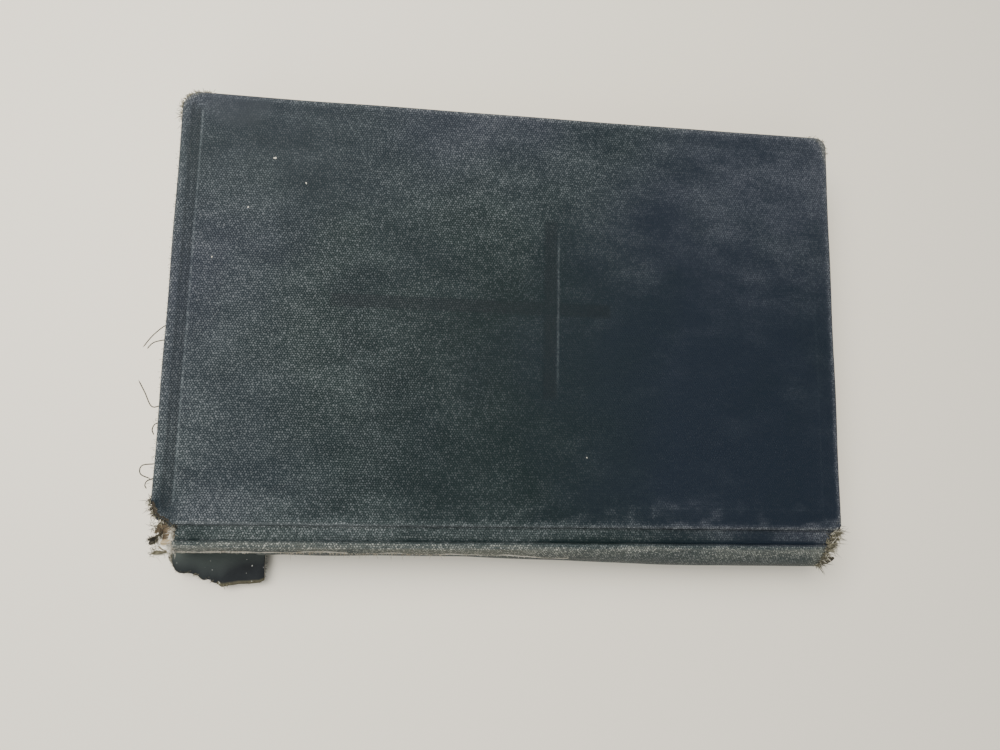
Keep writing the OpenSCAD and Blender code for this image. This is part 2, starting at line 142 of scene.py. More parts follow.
def new_material(name, roughness=0.8, specular=0.3):
    """A material with a Principled shader. Returns the material, its tree and the shader."""
    material = bpy.data.materials.new(name)
    material.use_nodes = True
    shader = material.node_tree.nodes["Principled BSDF"]
    shader.inputs["Roughness"].default_value = roughness
    shader.inputs["Specular IOR Level"].default_value = specular
    return material, material.node_tree, shader


# %% [markdown]
# The table is one large pale sheet. A wide soft light stands high beyond the fore-edge on the
# tail side, so its reflection greys the cloth there and leaves the head side dark. A weaker one
# on the spine side keeps the shadows pale.

# %% Table
def plain_sheet(name, half, z):
    """Flat square at height z, from -half to half."""
    mesh = bpy.data.meshes.new(name)
    mesh.from_pydata([(-half, -half, z), (half, -half, z), (half, half, z), (-half, half, z)],
                     [], [(0, 1, 2, 3)])
    sheet = bpy.data.objects.new(name, mesh)
    scene.collection.objects.link(sheet)
    return sheet


table = plain_sheet("table", 3.0, 0.0)
table_finish, tree, shader = new_material("pale_table", roughness=0.45)
shader.inputs["Base Color"].default_value = (0.83, 0.780, 0.660, 1.0)
table.data.materials.append(table_finish)
print("table ready:", table.name)

# %% Lights
def soft_light(name, place, size, power, colour):
    """Square area light at place that shines on the book."""
    lamp = bpy.data.lights.new(name, "AREA")
    lamp.size = size
    lamp.energy = power
    lamp.color = colour
    light = bpy.data.objects.new(name, lamp)
    aim = (-Vector(place)).to_track_quat("-Z", "Y").to_matrix().to_4x4()
    light.matrix_world = Matrix.Translation(place) @ aim
    scene.collection.objects.link(light)


soft_light("window", (-0.24, 0.17, 0.66), 0.48, 9.2, (1.0, 0.97, 0.92))
soft_light("fill", (-0.30, -0.70, 0.70), 0.6, 3.2, (0.96, 0.98, 1.0))
world = bpy.data.worlds.new("room")
world.use_nodes = True
backdrop = world.node_tree.nodes["Background"]
backdrop.inputs[0].default_value = (0.93, 0.96, 1.0, 1.0)
seen = source(world.node_tree, "LightPath", "Is Camera Ray")
feed(seen * 0.75 + 0.34, backdrop.inputs[1])
scene.world = world

# %% [markdown]
# ## Sizes
# The sizes repeat those of the solids, in millimetres. Every new piece is placed from them, so it
# lies where the solid that it dresses lies.

# %% Sizes in millimetres
HALF_LEN = 95.0        # half the covers' length, cloth included
FORE_Y = 59.4          # the covers' fore-edge
CLOTH = 0.4            # thickness of the book cloth
TOP = 24.0             # outer face of the front cover
MID_Z = 12.0           # middle of the book's thickness
BOARD_Z = 21.0         # inner face of the front board
BOARD_Y = -59.0        # the boards' edge beside the joint
PAGE_X, PAGE_FORE = 92.0, 56.4         # half the pages' length, and their fore-edge
SHOULDER_Y, SHOULDER_Z = -64.0, 22.8   # the pages' shoulder
GROOVE_Z = 22.6        # centre of the bends in the joint's groove
RIDGE_Y, RIDGE_R = -64.5, 1.1          # the cloth's ridge over the shoulder
BACK_R, BACK_Y = 19.3227, -47.9773     # the rounded back of the pages
LINING_R = BACK_R + 0.43               # outside of the mull and lining on that back


def smooth(t):
    """Runs from 0 to 1 with flat ends, for t from 0 to 1."""
    t = np.clip(t, 0, 1)
    return t * t * (3 - 2 * t)


def ripple(x, y, seed, pitch):
    """Gentle unevenness between -1 and 1: five sine waves in different directions, added up."""
    rng = np.random.default_rng(seed)
    total = 0
    for k in range(5):
        angle, phase, stretch = rng.uniform(0, 6.28), rng.uniform(0, 6.28), rng.uniform(0.7, 1.6)
        total = total + np.sin((x * np.cos(angle) + y * np.sin(angle)) * 6.28 / (pitch * stretch) + phase)
    return total / 3.2


def ragged(k):
    """Uneven offset between -1 and 1 that changes from thread to thread."""
    k = np.asarray(k, float)
    return (np.sin(np.radians(k * 137)) + 0.6 * np.sin(np.radians(k * 71 + 40))) / 1.6


print("book (mm):", 2 * HALF_LEN, "long and", TOP, "thick")

# %% [markdown]
# ## Meshes from grids
# Cloth is a sheet: every point of a grid has a partner on the other face. Cells that are torn away
# are left out, and the sheet is closed along each edge that this opens. All of it is worked out as
# whole arrays, and the sheet keeps its flat measure as a UV map, so the grain runs on round edges.

# %% Mesh builders
def mesh_piece(name, points, quads, looks, kinds=None, uv=None, smooth_faces=True, **painted):
    """Makes a mesh object from points in millimetres and quads, which may repeat a corner.
    kinds picks a material for each quad, uv holds a flat place for each point, and painted
    values are stored at the points."""
    mesh = bpy.data.meshes.new(name)
    mesh.vertices.add(len(points))
    mesh.vertices.foreach_set("co", (np.asarray(points) * 0.001).ravel())
    mesh.loops.add(quads.size)
    mesh.loops.foreach_set("vertex_index", quads.ravel().astype(np.int32))
    mesh.polygons.add(len(quads))
    mesh.polygons.foreach_set("loop_start", np.arange(0, quads.size, 4, dtype=np.int32))
    mesh.polygons.foreach_set("use_smooth", np.full(len(quads), smooth_faces))
    if kinds is not None:
        mesh.polygons.foreach_set("material_index", kinds.astype(np.int32))
    if uv is not None:
        layer = mesh.uv_layers.new(name="flat")
        layer.data.foreach_set("uv", (uv[quads.ravel()] * 0.001).ravel())
    for key, values in painted.items():
        layer = mesh.attributes.new(key, "FLOAT", "POINT")
        layer.data.foreach_set("value", np.asarray(values, float).ravel())
    for look in looks:
        mesh.materials.append(look)
    mesh.update(calc_edges=True)
    mesh.validate()
    piece = bpy.data.objects.new(name, mesh)
    scene.collection.objects.link(piece)
    return piece


def grid_quads(ids):
    """Quads of a grid of numbered points. Returns one quad for each cell."""
    return np.stack([ids[:-1, :-1], ids[1:, :-1], ids[1:, 1:], ids[:-1, 1:]], -1)


def sheet_cells(there, flip=False, joined=()):
    """Quads of a sheet with two faces. there says which cells exist. Kind 0 is the outer face,
    1 the inner face and 2 the closed edges. joined numbers the sides of the grid where the sheet
    really runs on into its neighbour, so that its edge there is outer face too."""
    nu, nv = there.shape
    count = (nu + 1) * (nv + 1)
    cells = grid_quads(np.arange(count).reshape(nu + 1, nv + 1))
    outer = cells[there]
    inner = outer[:, ::-1] + count
    quads, kinds = [outer, inner], [np.zeros(len(outer)), np.ones(len(inner))]
    a, b, c, d = np.moveaxis(cells, -1, 0)
    padded = np.pad(there, 1)
    rim = np.zeros((4, nu, nv), bool)
    rim[0, :, 0] = rim[1, -1] = rim[2, :, -1] = rim[3, 0] = True
    for side, (p, q, beside) in enumerate(((a, b, padded[1:-1, :-2]), (b, c, padded[2:, 1:-1]),
                                           (c, d, padded[1:-1, 2:]), (d, a, padded[:-2, 1:-1]))):
        bare = there & ~beside
        quads.append(np.stack([q[bare], p[bare], p[bare] + count, q[bare] + count], -1))
        kinds.append(np.where(rim[side][bare] & (side in joined), 0, 2))
    quads = np.concatenate(quads)
    return (quads[:, ::-1] if flip else quads), np.concatenate(kinds)


def sheet_piece(name, outer, inner, there, looks, flat, flip=False, joined=(), **painted):
    """Closed sheet from two grids of points and a grid of cells. Its looks are for the outer
    face, the inner face and the edges."""
    quads, kinds = sheet_cells(there, flip, joined)
    points = np.concatenate([outer.reshape(-1, 3), inner.reshape(-1, 3)])
    uv = np.tile(flat.reshape(-1, 2), (2, 1))
    values = {key: np.tile(value.ravel(), 2) for key, value in painted.items()}
    piece = mesh_piece(name, points, quads, looks, kinds, uv, **values)
    print(name, "faces:", len(piece.data.polygons))
    return piece


def fibres(name, paths, radius, look):
    """Thin tubes. paths is (count, steps, 3) in millimetres and radius (count, steps). A ring of
    four corners stands square to each path at each step, and its two ends are closed."""
    along = np.gradient(paths, axis=1)
    along /= np.linalg.norm(along, axis=2, keepdims=True) + 1e-9
    helper = np.where(np.abs(along[..., 2:3]) > 0.9, [[[1.0, 0, 0]]], [[[0, 0, 1.0]]])
    side = np.cross(along, helper)
    side /= np.linalg.norm(side, axis=2, keepdims=True) + 1e-9
    other = np.cross(along, side)
    angles = np.arange(4) * np.pi / 2
    ends = np.ones(paths.shape[1])
    ends[[0, -1]] = 0.05
    r = (radius * ends)[..., None, None]
    rings = paths[:, :, None, :] + r * (np.cos(angles)[:, None] * side[:, :, None, :]
                                        + np.sin(angles)[:, None] * other[:, :, None, :])
    ids = np.arange(rings.size // 3).reshape(rings.shape[:3])
    nxt = np.roll(ids, -1, axis=2)
    walls = np.stack([ids[:, :-1], nxt[:, :-1], nxt[:, 1:], ids[:, 1:]], -1).reshape(-1, 4)
    caps = [ids[:, 0, ::-1], ids[:, -1]]
    piece = mesh_piece(name, rings.reshape(-1, 3), np.concatenate([walls, *caps]), [look])
    print(name, "fibres:", len(paths))
    return piece


# %% [markdown]
# ## The book cloth's finish
# A finish is built up in shares: a smooth ramp turns a value into a share, and the share mixes two
# colours. What more than one material uses is a shader group with named inputs and outputs.

# %% Helpers for finishes
def ramp(value, low, high, to_low=0.0, to_high=1.0):
    """Maps value smoothly from low..high to to_low..to_high."""
    node = add_node(value.tree, "MapRange", interpolation_type="SMOOTHSTEP")
    for socket, item in zip(node.inputs, (value, low, high, to_low, to_high)):
        feed(item, socket)
    return Flow(node.outputs[0])


def mix_colour(share, a, b):
    """Mixes two colours by a share. Each of them may be a flow."""
    node = add_node(share.tree, "Mix", data_type="RGBA")
    for k, item in ((0, share), (6, a), (7, b)):
        feed(item, node.inputs[k])
    return Flow(node.outputs[2])


def pattern(place, kind, output, **values):
    """One output of a pattern node that reads a place."""
    node = add_node(place.tree, "Tex" + kind, **values)
    feed(place, node.inputs["Vector"])
    return Flow(node.outputs[output])


def noise(place, scale, detail=3.0, rough=0.55, stretch=None):
    """Noise value at a place, stretched along an axis where stretch has small numbers."""
    if stretch is not None:
        mapping = add_node(place.tree, "Mapping", in_Scale=stretch)
        feed(place, mapping.inputs["Vector"])
        place = Flow(mapping.outputs[0])
    return pattern(place, "Noise", 0, in_Scale=scale, in_Detail=detail, in_Roughness=rough)


def split(place):
    """The X, Y and Z of a place."""
    node = add_node(place.tree, "SeparateXYZ")
    feed(place, node.inputs[0])
    return [Flow(socket) for socket in node.outputs]


def stored(tree, *names):
    """Values that a piece stores at its points, by name."""
    return [source(tree, "Attribute", "Fac", attribute_name=name) for name in names]


def coat(shader, colour, height, distance, strength):
    """Gives the shader a colour, and bumps from a height in 0..1 that stands for a distance in
    metres."""
    feed(colour, shader.inputs["Base Color"])
    node = add_node(height.tree, "Bump", in_Strength=strength, in_Distance=distance)
    feed(height, node.inputs["Height"])
    feed(Flow(node.outputs[0]), shader.inputs["Normal"])


def new_group(name, takes, gives):
    """An empty shader group. takes names its inputs and their kinds, gives names the numbers that
    come out. Returns the group, its inputs as flows and the sockets of its results."""
    tree = bpy.data.node_groups.new(name, "ShaderNodeTree")
    for key, kind in takes.items():
        tree.interface.new_socket(key, in_out="INPUT", socket_type="NodeSocket" + kind)
    for key in gives:
        tree.interface.new_socket(key, in_out="OUTPUT", socket_type="NodeSocketFloat")
    given = tree.nodes.new("NodeGroupInput").outputs
    return tree, {key: Flow(given[key]) for key in takes}, tree.nodes.new("NodeGroupOutput").inputs


def use_group(tree, group, **takes):
    """Places a shader group in a tree. Returns its outputs by name."""
    node = add_node(tree, "Group", node_tree=group)
    for key, value in takes.items():
        feed(value, node.inputs[key])
    return {socket.name: Flow(socket) for socket in node.outputs}


# %% [markdown]
# The cloth is pressed with a pebble grain: little domes about 0.7 mm apart, in rows that are
# shifted by half a step like a honeycomb. One shader group works out the domes, and every cloth
# piece uses it on its flat measure, so the grain runs on from the cover into the joint.

# %% Pebble grain group
GRAIN_PITCH = 0.00072      # metres from dome to dome
ROW_STEP = 1.732           # rows repeat at the square root of 3, counted in pitches


def pebble_grain():
    """Each place is measured from the nearest point of two crossed rows of points, which together
    make a honeycomb. Dome is 1 over the broad dome round that point and 0 in the pits between the
    domes, Tip is 1 on its rubbed top only, and Chance is one random number for each dome."""
    tree, given, result = new_group("pebble_grain", {"Place": "Vector", "Pitch": "Float"},
                                    ("Dome", "Tip", "Chance"))

    def vector(operation, a, b=None):
        node = add_node(tree, "VectorMath", operation=operation)
        feed(a, node.inputs[0])
        if b is not None:
            feed(b, node.inputs["Scale" if operation == "SCALE" else 1])
        return Flow(node.outputs["Value" if operation == "LENGTH" else "Vector"])

    centre = (0.5, 0.5, 0.5)
    steps = vector("SCALE", given["Place"], maths("DIVIDE", 1.0, given["Pitch"]))
    drift = pattern(steps, "Noise", "Color", in_Scale=1.1, in_Detail=2.0)
    uneven = vector("MULTIPLY", vector("SUBTRACT", drift, centre), (1.5, 1.5, 0.0))
    steps = vector("ADD", steps, uneven)
    distances, chances = [], []
    for shift in ((0.0, 0.0, 0.0), (0.5, 0.866, 0.0)):
        cells = vector("DIVIDE", vector("ADD", steps, shift), (1.0, ROW_STEP, 1.0))
        inside = vector("SUBTRACT", vector("FRACTION", cells), centre)
        distances.append(vector("LENGTH", vector("MULTIPLY", inside, (1.0, ROW_STEP, 0.0))))
        number = vector("ADD", vector("FLOOR", cells), (shift[0], 0.0, 0.0))
        chances.append(pattern(number, "WhiteNoise", "Value", noise_dimensions="3D"))
    nearest = maths("MINIMUM", *distances)
    feed(ramp(nearest, 0.55, 0.30), result["Dome"])
    feed(ramp(nearest, 0.45, 0.10), result["Tip"])
    picked = add_node(tree, "Mix", data_type="FLOAT")
    for k, item in ((0, maths("LESS_THAN", *distances)), (2, chances[1]), (3, chances[0])):
        feed(item, picked.inputs[k])
    feed(Flow(picked.outputs[0]), result["Chance"])
    return tree


grain = pebble_grain()
print("grain nodes:", len(grain.nodes))

# %% [markdown]
# ## Blind stamping
# A double border and a plain Latin cross were pressed into the cover without ink. Pressing
# flattens the grain, and a painted highlight stands for the fine light rim where light catches the
# edge beside some lines. The border has worn away on three sides, so it stays clear only along the
# tail edge.

# %% Blind stamp group
CROSS_Y, BAR = 1.7, 2.0            # the cross's middle line and half the width of its bars
UPRIGHT_X, UPRIGHT = -12.7, 39.5   # middle and half the length of the upright
ARM_X, ARM = 9.3, 26.0             # place and half the length of the arm


def blind_stamp():
    """Border: the distance to the nearest edge of the cover, compared with those of the lines.
    Cross: for each bar the larger of the distances past its ends and past its sides, and the
    smaller of the two bars. Pressed is 1 in a line and Highlight is 1 on its painted highlight, a
    light edge where light catches it."""
    tree, given, result = new_group("blind_stamp", {"Place": "Vector"}, ("Pressed", "Highlight"))
    x, y = (value * 1000.0 for value in split(given["Place"])[:2])

    def beyond(value, middle, half):
        return abs(value - middle) - half

    def bell(value, middle, flat, out):
        return ramp(abs(value - middle), flat, out, 1.0, 0.0)

    def larger(first, *others):
        for other in others:
            first = maths("MAXIMUM", first, other)
        return first

    tail = x + HALF_LEN
    sides = maths("MINIMUM", HALF_LEN - x, FORE_Y - abs(y))
    edge = maths("MINIMUM", tail, sides)
    clear = ramp(sides - tail, -0.4, 0.4, 0.08, 0.85)
    border = clear * larger(bell(edge, 4.0, 1.2, 1.9) * 0.65,
                            bell(edge, 3.2, 0.2, 0.8), bell(edge, 4.9, 0.2, 0.8))
    # Painted highlight: a fine light rim beside the border's lines, where light catches their edge.
    border_highlight = clear * larger(bell(edge, 2.3, 0.08, 0.42) * 0.15, bell(edge, 5.8, 0.08, 0.42))
    upright = larger(beyond(x, UPRIGHT_X, UPRIGHT), beyond(y, CROSS_Y, BAR))
    arm = larger(beyond(x, ARM_X, BAR), beyond(y, CROSS_Y, ARM))
    cross = maths("MINIMUM", upright, arm)
    feed(larger(border, ramp(cross, -0.6, 0.4, 1.0, 0.0)), result["Pressed"])
    # Painted highlight: a light rim along one side of the arm only, where light catches its edge.
    arm_highlight = bell(x, 11.6, 0.05, 0.5) * ramp(beyond(y, CROSS_Y, 22.0), -5.0, 2.5, 0.75, 0.0)
    feed(larger(border_highlight, arm_highlight), result["Highlight"])
    return tree


stamp = blind_stamp()
print("stamp nodes:", len(stamp.nodes))

# %% [markdown]
# ## Cloth materials
# Old book cloth is near black with a green and a blue cast in patches. The tops of the domes are
# rubbed grey, more so where hands and shelves wore it. Each piece of cloth stores how worn it is at
# its points, together with painted sheen and painted shade. Rubbing also bleaches the cloth
# towards the tan of its bare threads.

# %% Cloth material
GREEN_PIT, BLUE_PIT = (0.0027, 0.0098, 0.0107), (0.0068, 0.0122, 0.0206)
GREEN_DOME, BLUE_DOME = (0.0645, 0.084, 0.083), (0.070, 0.076, 0.093)
# The dusty pit colour also stands for painted sheen where the stored shading is high.
DUSTY_SHEEN_PIT = (0.021, 0.025, 0.026)
WORN_PIT, TAN_PIT = (0.072, 0.084, 0.089), (0.086, 0.084, 0.066)
FRESH_TIP = (0.128, 0.138, 0.144)
WORN_TIP, TAN_TIP = (0.278, 0.305, 0.320), (0.405, 0.400, 0.325)
# The second colour is a painted highlight for the light rim beside stamped lines.
STAMPED, STAMP_HIGHLIGHT = (0.0060, 0.0100, 0.0125), (0.19, 0.22, 0.23)


def grained_cloth(name, stamped=False):
    """Dark cloth. Its domes are lit by how worn the place is, together with a painted sheen and painted
    shade stored with it, and by each dome's own chance. The piece stores four values: that shading,
    slick where the grain is rubbed flat, cast from green to blue, and tan where rubbing shows the threads."""
    material, tree, shader = new_material(name, roughness=0.5, specular=0.15)
    flat = source(tree, "UVMap", 0, uv_map="flat")
    wear, slick, cast, tan = stored(tree, "wear", "slick", "cast", "tan")
    domes = use_group(tree, grain, Place=flat, Pitch=GRAIN_PITCH)
    dome, luck = domes["Dome"], domes["Chance"]
    patches = noise(flat, 26.0, 4.0)
    rubs = noise(flat, 120.0, 4.0, 0.6, stretch=(0.5, 1.0, 1.0))
    hue = maths("ADD", cast, (patches - 0.5) * 1.2, clamp=True)
    # The stored value holds rubbing together with painted sheen and painted shade, so spread lights the pits,
    # domes and tips as painted light as well as by rubbing.
    spread = maths("ADD", wear, (rubs - 0.5) * (wear * 0.55 + 0.12), clamp=True)
    pit = mix_colour(ramp(spread, 0.1, 0.7, 0.0, 0.5), mix_colour(hue, GREEN_PIT, BLUE_PIT), DUSTY_SHEEN_PIT)
    pit = mix_colour(ramp(spread, 0.55, 1.0), pit, mix_colour(tan, WORN_PIT, TAN_PIT))
    greyed = ramp(luck, 0.0, 1.0, 0.55, 1.0) * ramp(spread + rubs * 0.3, 0.16, 0.64, 0.04, 1.0)
    colour = mix_colour(dome * greyed, pit, mix_colour(hue, GREEN_DOME, BLUE_DOME))
    rubbed = ramp(luck, 0.1, 1.0, 0.1, 1.0) * ramp(spread + (1.0 - hue) * 0.21, 0.0, 0.86)
    tip = mix_colour(ramp(spread, 0.35, 1.0), FRESH_TIP, mix_colour(tan, WORN_TIP, TAN_TIP))
    colour = mix_colour(domes["Tip"] * rubbed * (1.0 - slick * 0.9), colour, tip)
    height = dome * ramp(slick, 0.0, 1.0, 1.0, 0.15)
    if stamped:
        lines = use_group(tree, stamp, Place=flat)
        uneven = ramp(rubs, 0.25, 0.60, 0.45, 1.0)
        pressed = lines["Pressed"] * uneven
        colour = mix_colour(pressed * 0.6, colour, STAMPED)
        # Painted highlight beside the stamped lines.
        rim = lines["Highlight"] * uneven * ramp(luck, 0.0, 0.9, 0.10, 0.26)
        colour = mix_colour(rim, colour, STAMP_HIGHLIGHT)
        height = height - pressed * 0.6
    coat(shader, colour, height + noise(flat, 5200.0, 2.0) * 0.25, 0.00011, 0.85)
    feed(ramp(spread + patches * 0.4, 0.1, 1.0, 0.42, 0.75), shader.inputs["Roughness"])
    return material


cover_finish = grained_cloth("stamped_book_cloth", stamped=True)
cloth_finish = grained_cloth("book_cloth")
print("cloth materials:", cover_finish.name, cloth_finish.name)

# %% [markdown]
# The cloth's other face was never grained: it is a smooth dark weave with flecks of old glue and
# paper, and olive where its dye has gone. A torn edge shows the bare pale threads.

# %% Inner face and torn edge
def plain_fibre(name, colours, pitch, depth, spots=None):
    """Matt material whose colour drifts between two tones, with fine bumps. spots adds flecks:
    (size of the pattern, share left out, colour)."""
    material, tree, shader = new_material(name, roughness=0.9, specular=0.2)
    place = source(tree, "TexCoord", "Object")
    colour = mix_colour(ramp(noise(place, pitch, 4.0, 0.6), 0.3, 0.7), *colours)
    if spots:
        size, share, tone = spots
        colour = mix_colour(ramp(noise(place, size, 1.0), share, share + 0.03), colour, tone)
    coat(shader, colour, noise(place, pitch * 6, 3.0, 0.7), depth, 0.8)
    return material


def cloth_back():
    """Smooth dark weave. The stored fray turns it olive and tan near its torn edge, and the stored
    cast paints it paler at the root of the loose flap, painted light against the shade of its bend."""
    material, tree, shader = new_material("cloth_inner_face", roughness=0.7)
    flat = source(tree, "UVMap", 0, uv_map="flat")
    fray, pale = stored(tree, "fray", "cast")
    drift = noise(flat, 160.0, 4.0, 0.6)
    colour = mix_colour(ramp(drift, 0.3, 0.7), (0.0036, 0.0056, 0.0074), (0.0100, 0.0130, 0.0150))
    # Painted light: paler towards the flap's root, against the shade of its bend.
    colour = mix_colour(pale, colour, (0.066, 0.084, 0.075))
    edge = fray + (drift - 0.5) * 0.8
    colour = mix_colour(ramp(edge, 0.35, 0.85), colour, (0.070, 0.064, 0.038))
    flecks = noise(flat, 1100.0, 1.0)
    colour = mix_colour(ramp(flecks, 0.735, 0.76), colour, (0.50, 0.50, 0.46))
    weave = pattern(flat, "Checker", "Fac", in_Scale=2600.0)
    coat(shader, colour, weave * 0.4 + noise(flat, 2500.0, 2.0), 0.00008, 0.7)
    return material


inner_finish = cloth_back()
torn_finish = plain_fibre("torn_threads", ((0.40, 0.37, 0.29), (0.66, 0.64, 0.56)), 900.0, 0.0001)
print("inner and torn finishes:", inner_finish.name, torn_finish.name)

# %% [markdown]
# ## Paper, board and thread materials
# The pages have browned from their edges inwards. Each leaf's edge shows as a line, so their
# material is drawn out long in X and Y and fine in Z. Boards are grey-brown pulp, and the mull is
# an open starched weave.

# %% Paper materials
def page_edges():
    """Lines of leaves: noise that changes fast in Z and slowly along the edge."""
    material, tree, shader = new_material("page_edges", roughness=0.85, specular=0.2)
    place = source(tree, "TexCoord", "Object")
    leaves = noise(place, 1.0, 2.0, 0.6, stretch=(9.0, 9.0, 5200.0))
    gatherings = noise(place, 1.0, 1.0, 0.5, stretch=(4.0, 4.0, 900.0))
    stains = noise(place, 38.0, 4.0, 0.6)
    colour = mix_colour(ramp(leaves, 0.3, 0.7), (0.36, 0.27, 0.155), (0.64, 0.535, 0.36))
    colour = mix_colour(ramp(gatherings, 0.52, 0.62, 0.0, 0.55), colour, (0.25, 0.18, 0.10))
    colour = mix_colour(ramp(stains, 0.55, 0.75, 0.0, 0.5), colour, (0.27, 0.19, 0.10))
    coat(shader, colour, leaves, 0.0002, 0.9)
    return material


def aged_paper(name, frame_line=None):
    """Endpaper: cream, browner towards the edges, with small rust-brown spots. frame_line is how
    far in the turned-in cloth ends under a pasted sheet, where its step shows through."""
    material, tree, shader = new_material(name, roughness=0.88, specular=0.2)
    place = source(tree, "TexCoord", "Object")
    x, y, _ = split(place)
    margin = maths("MINIMUM", PAGE_X - abs(x) * 1000.0, PAGE_FORE - y * 1000.0)
    cloudy = noise(place, 45.0, 5.0, 0.6)
    colour = mix_colour(ramp(cloudy, 0.3, 0.7), (0.60, 0.51, 0.355), (0.70, 0.62, 0.47))
    browned = ramp(margin + cloudy * 14.0, 4.0, 22.0, 0.75, 0.0)
    colour = mix_colour(browned, colour, (0.40, 0.29, 0.16))
    spots = noise(place, 420.0, 2.0, 0.5)
    colour = mix_colour(ramp(spots, 0.70, 0.76, 0.0, 0.6), colour, (0.30, 0.17, 0.07))
    height = noise(place, 1800.0, 4.0, 0.65)
    if frame_line:
        height = height * 0.25 - ramp(margin, frame_line - 0.5, frame_line + 0.5) * 1.6
        shade = ramp(abs(margin - frame_line), 0.1, 1.2, 0.35, 0.0)
        colour = mix_colour(shade, colour, (0.33, 0.23, 0.12))
    coat(shader, colour, height, 0.00012, 0.7)
    return material


page_finish = page_edges()
paper_finish = aged_paper("endpaper")
pasted_finish = aged_paper("pasted_endpaper", frame_line=12.0)
print("papers:", page_finish.name, paper_finish.name, pasted_finish.name)

# %% Board, lining and thread materials
board_finish = plain_fibre("pulp_board", ((0.013, 0.011, 0.008), (0.044, 0.037, 0.027)), 420.0, 0.00025)
glue_paper_finish = plain_fibre("brown_lining_paper", ((0.105, 0.078, 0.048), (0.245, 0.195, 0.135)),
                                130.0, 0.0002, spots=(260.0, 0.66, (0.045, 0.030, 0.018)))
lining_finish = plain_fibre("grey_lining_paper", ((0.16, 0.155, 0.135), (0.34, 0.335, 0.30)), 130.0, 0.0002)
thread_finish = plain_fibre("dark_thread", ((0.014, 0.014, 0.012), (0.060, 0.054, 0.042)), 700.0, 0.00005)
tan_finish = plain_fibre("bare_thread", ((0.23, 0.19, 0.125), (0.50, 0.45, 0.35)), 500.0, 0.00005)
frayed_finish = plain_fibre("frayed_cloth", ((0.045, 0.041, 0.027), (0.280, 0.262, 0.185)), 900.0, 0.00005)
scrap_finish = plain_fibre("paper_scrap", ((0.58, 0.55, 0.46), (0.78, 0.76, 0.68)), 300.0, 0.00008)
print("fibre finishes ready, such as", board_finish.name)

# %% Mull and band materials
def open_weave():
    """Mull: two sets of threads crossing at right angles, with dark gaps between them."""
    material, tree, shader = new_material("mull", roughness=0.9, specular=0.2)
    place = source(tree, "TexCoord", "Object")
    threads = maths("MAXIMUM", *(
        pattern(place, "Wave", "Fac", wave_type="BANDS", bands_direction=across, in_Scale=170.0,
                in_Distortion=1.2, in_Detail=1.0, in_Detail_Scale=60.0) for across in "XY"))
    colour = mix_colour(ramp(threads, 0.35, 0.75), (0.16, 0.12, 0.07), (0.60, 0.55, 0.43))
    coat(shader, colour, threads, 0.0002, 0.8)
    return material


def wound_band():
    """Head band: a cord wound with two colours of thread, so its bead is striped across."""
    material, tree, shader = new_material("wound_band", roughness=0.75)
    place = source(tree, "TexCoord", "Object")
    turns = pattern(place, "Wave", "Fac", wave_type="BANDS", bands_direction="Z", in_Scale=210.0,
                    in_Distortion=0.6)
    colour = mix_colour(ramp(turns, 0.4, 0.6), (0.46, 0.41, 0.30), (0.30, 0.24, 0.16))
    dirt = ramp(noise(place, 220.0, 3.0), 0.45, 0.7, 0.0, 0.6)
    colour = mix_colour(dirt, colour, (0.14, 0.11, 0.075))
    coat(shader, colour, turns, 0.0002, 0.9)
    return material


mull_finish = open_weave()
band_finish = wound_band()
print("weave and band finishes:", mull_finish.name, band_finish.name)

# %% [markdown]
# ## Finishes for the solids that stay
# Boards, endpapers, mull, lining, card inlay and bands keep their solids, because their shapes
# are right as they are. Only their material changes.

# %% Dress the solids
dress = {
    "front_board": board_finish, "back_board": board_finish, "spine_inlay": board_finish,
    "front_flyleaf": paper_finish, "back_flyleaf": paper_finish,
    "front_pastedown": pasted_finish, "back_pastedown": pasted_finish,
    "mull": mull_finish, "front_mull_flap": mull_finish, "back_mull_flap": mull_finish,
    "spine_lining": lining_finish, "headband": band_finish, "tailband": band_finish,
}
for node, finish in dress.items():
    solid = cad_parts[node]
    solid.data.materials.clear()
    solid.data.materials.append(finish)
print("dressed solids:", len(dress))

# %% [markdown]
# ## Cloth of the covers
# A cover's cloth is one sheet, wrapped over the board's top, down three edges and a little way
# under. The grid is the flat sheet. Past an edge its distance runs on over a rounded rim, down
# the side and back underneath. At a corner the square grid is turned into rings round the
# corner's centre, so the sheet follows the rounded corner without a seam.

# %% Round edges
RIM = 0.9          # rounding of the outer edges
JOINT_RIM = 1.4    # rounding beside the joint
UNDER_R = 0.25     # rounding at the foot of an edge
QUARTER = np.pi / 2


def over_edge(d, rim, depth):
    """Where the sheet is at distance d past the rim's start: a quarter circle, a straight side, a
    small quarter circle and the underside. Returns how far out from the outline, and the height."""
    d1 = rim * QUARTER
    d2 = d1 + TOP - rim - BOARD_Z - UNDER_R
    d3 = d2 + UNDER_R * QUARTER
    a = np.clip(d, 0, d1) / rim
    b = np.clip(d - d2, 0, d3 - d2) / UNDER_R
    under = -UNDER_R + (UNDER_R - depth) * np.cos(b) - np.maximum(d - d3, 0)
    out = np.where(d <= d1, -rim + (rim - depth) * np.sin(a), np.where(d <= d2, -depth, under))
    low = BOARD_Z + UNDER_R - (UNDER_R - depth) * np.sin(b)
    z = np.where(d <= d1, TOP - rim + (rim - depth) * np.cos(a),
                 np.where(d <= d2, TOP - rim - (d - d1), low))
    return out, z


def over_joint_edge(d, depth):
    """The same beside the joint, where the sheet ends at the foot of a quarter circle."""
    a = np.clip(d / JOINT_RIM, 0, QUARTER)
    r = JOINT_RIM - depth
    return -JOINT_RIM + r * np.sin(a), TOP - JOINT_RIM + r * np.cos(a)


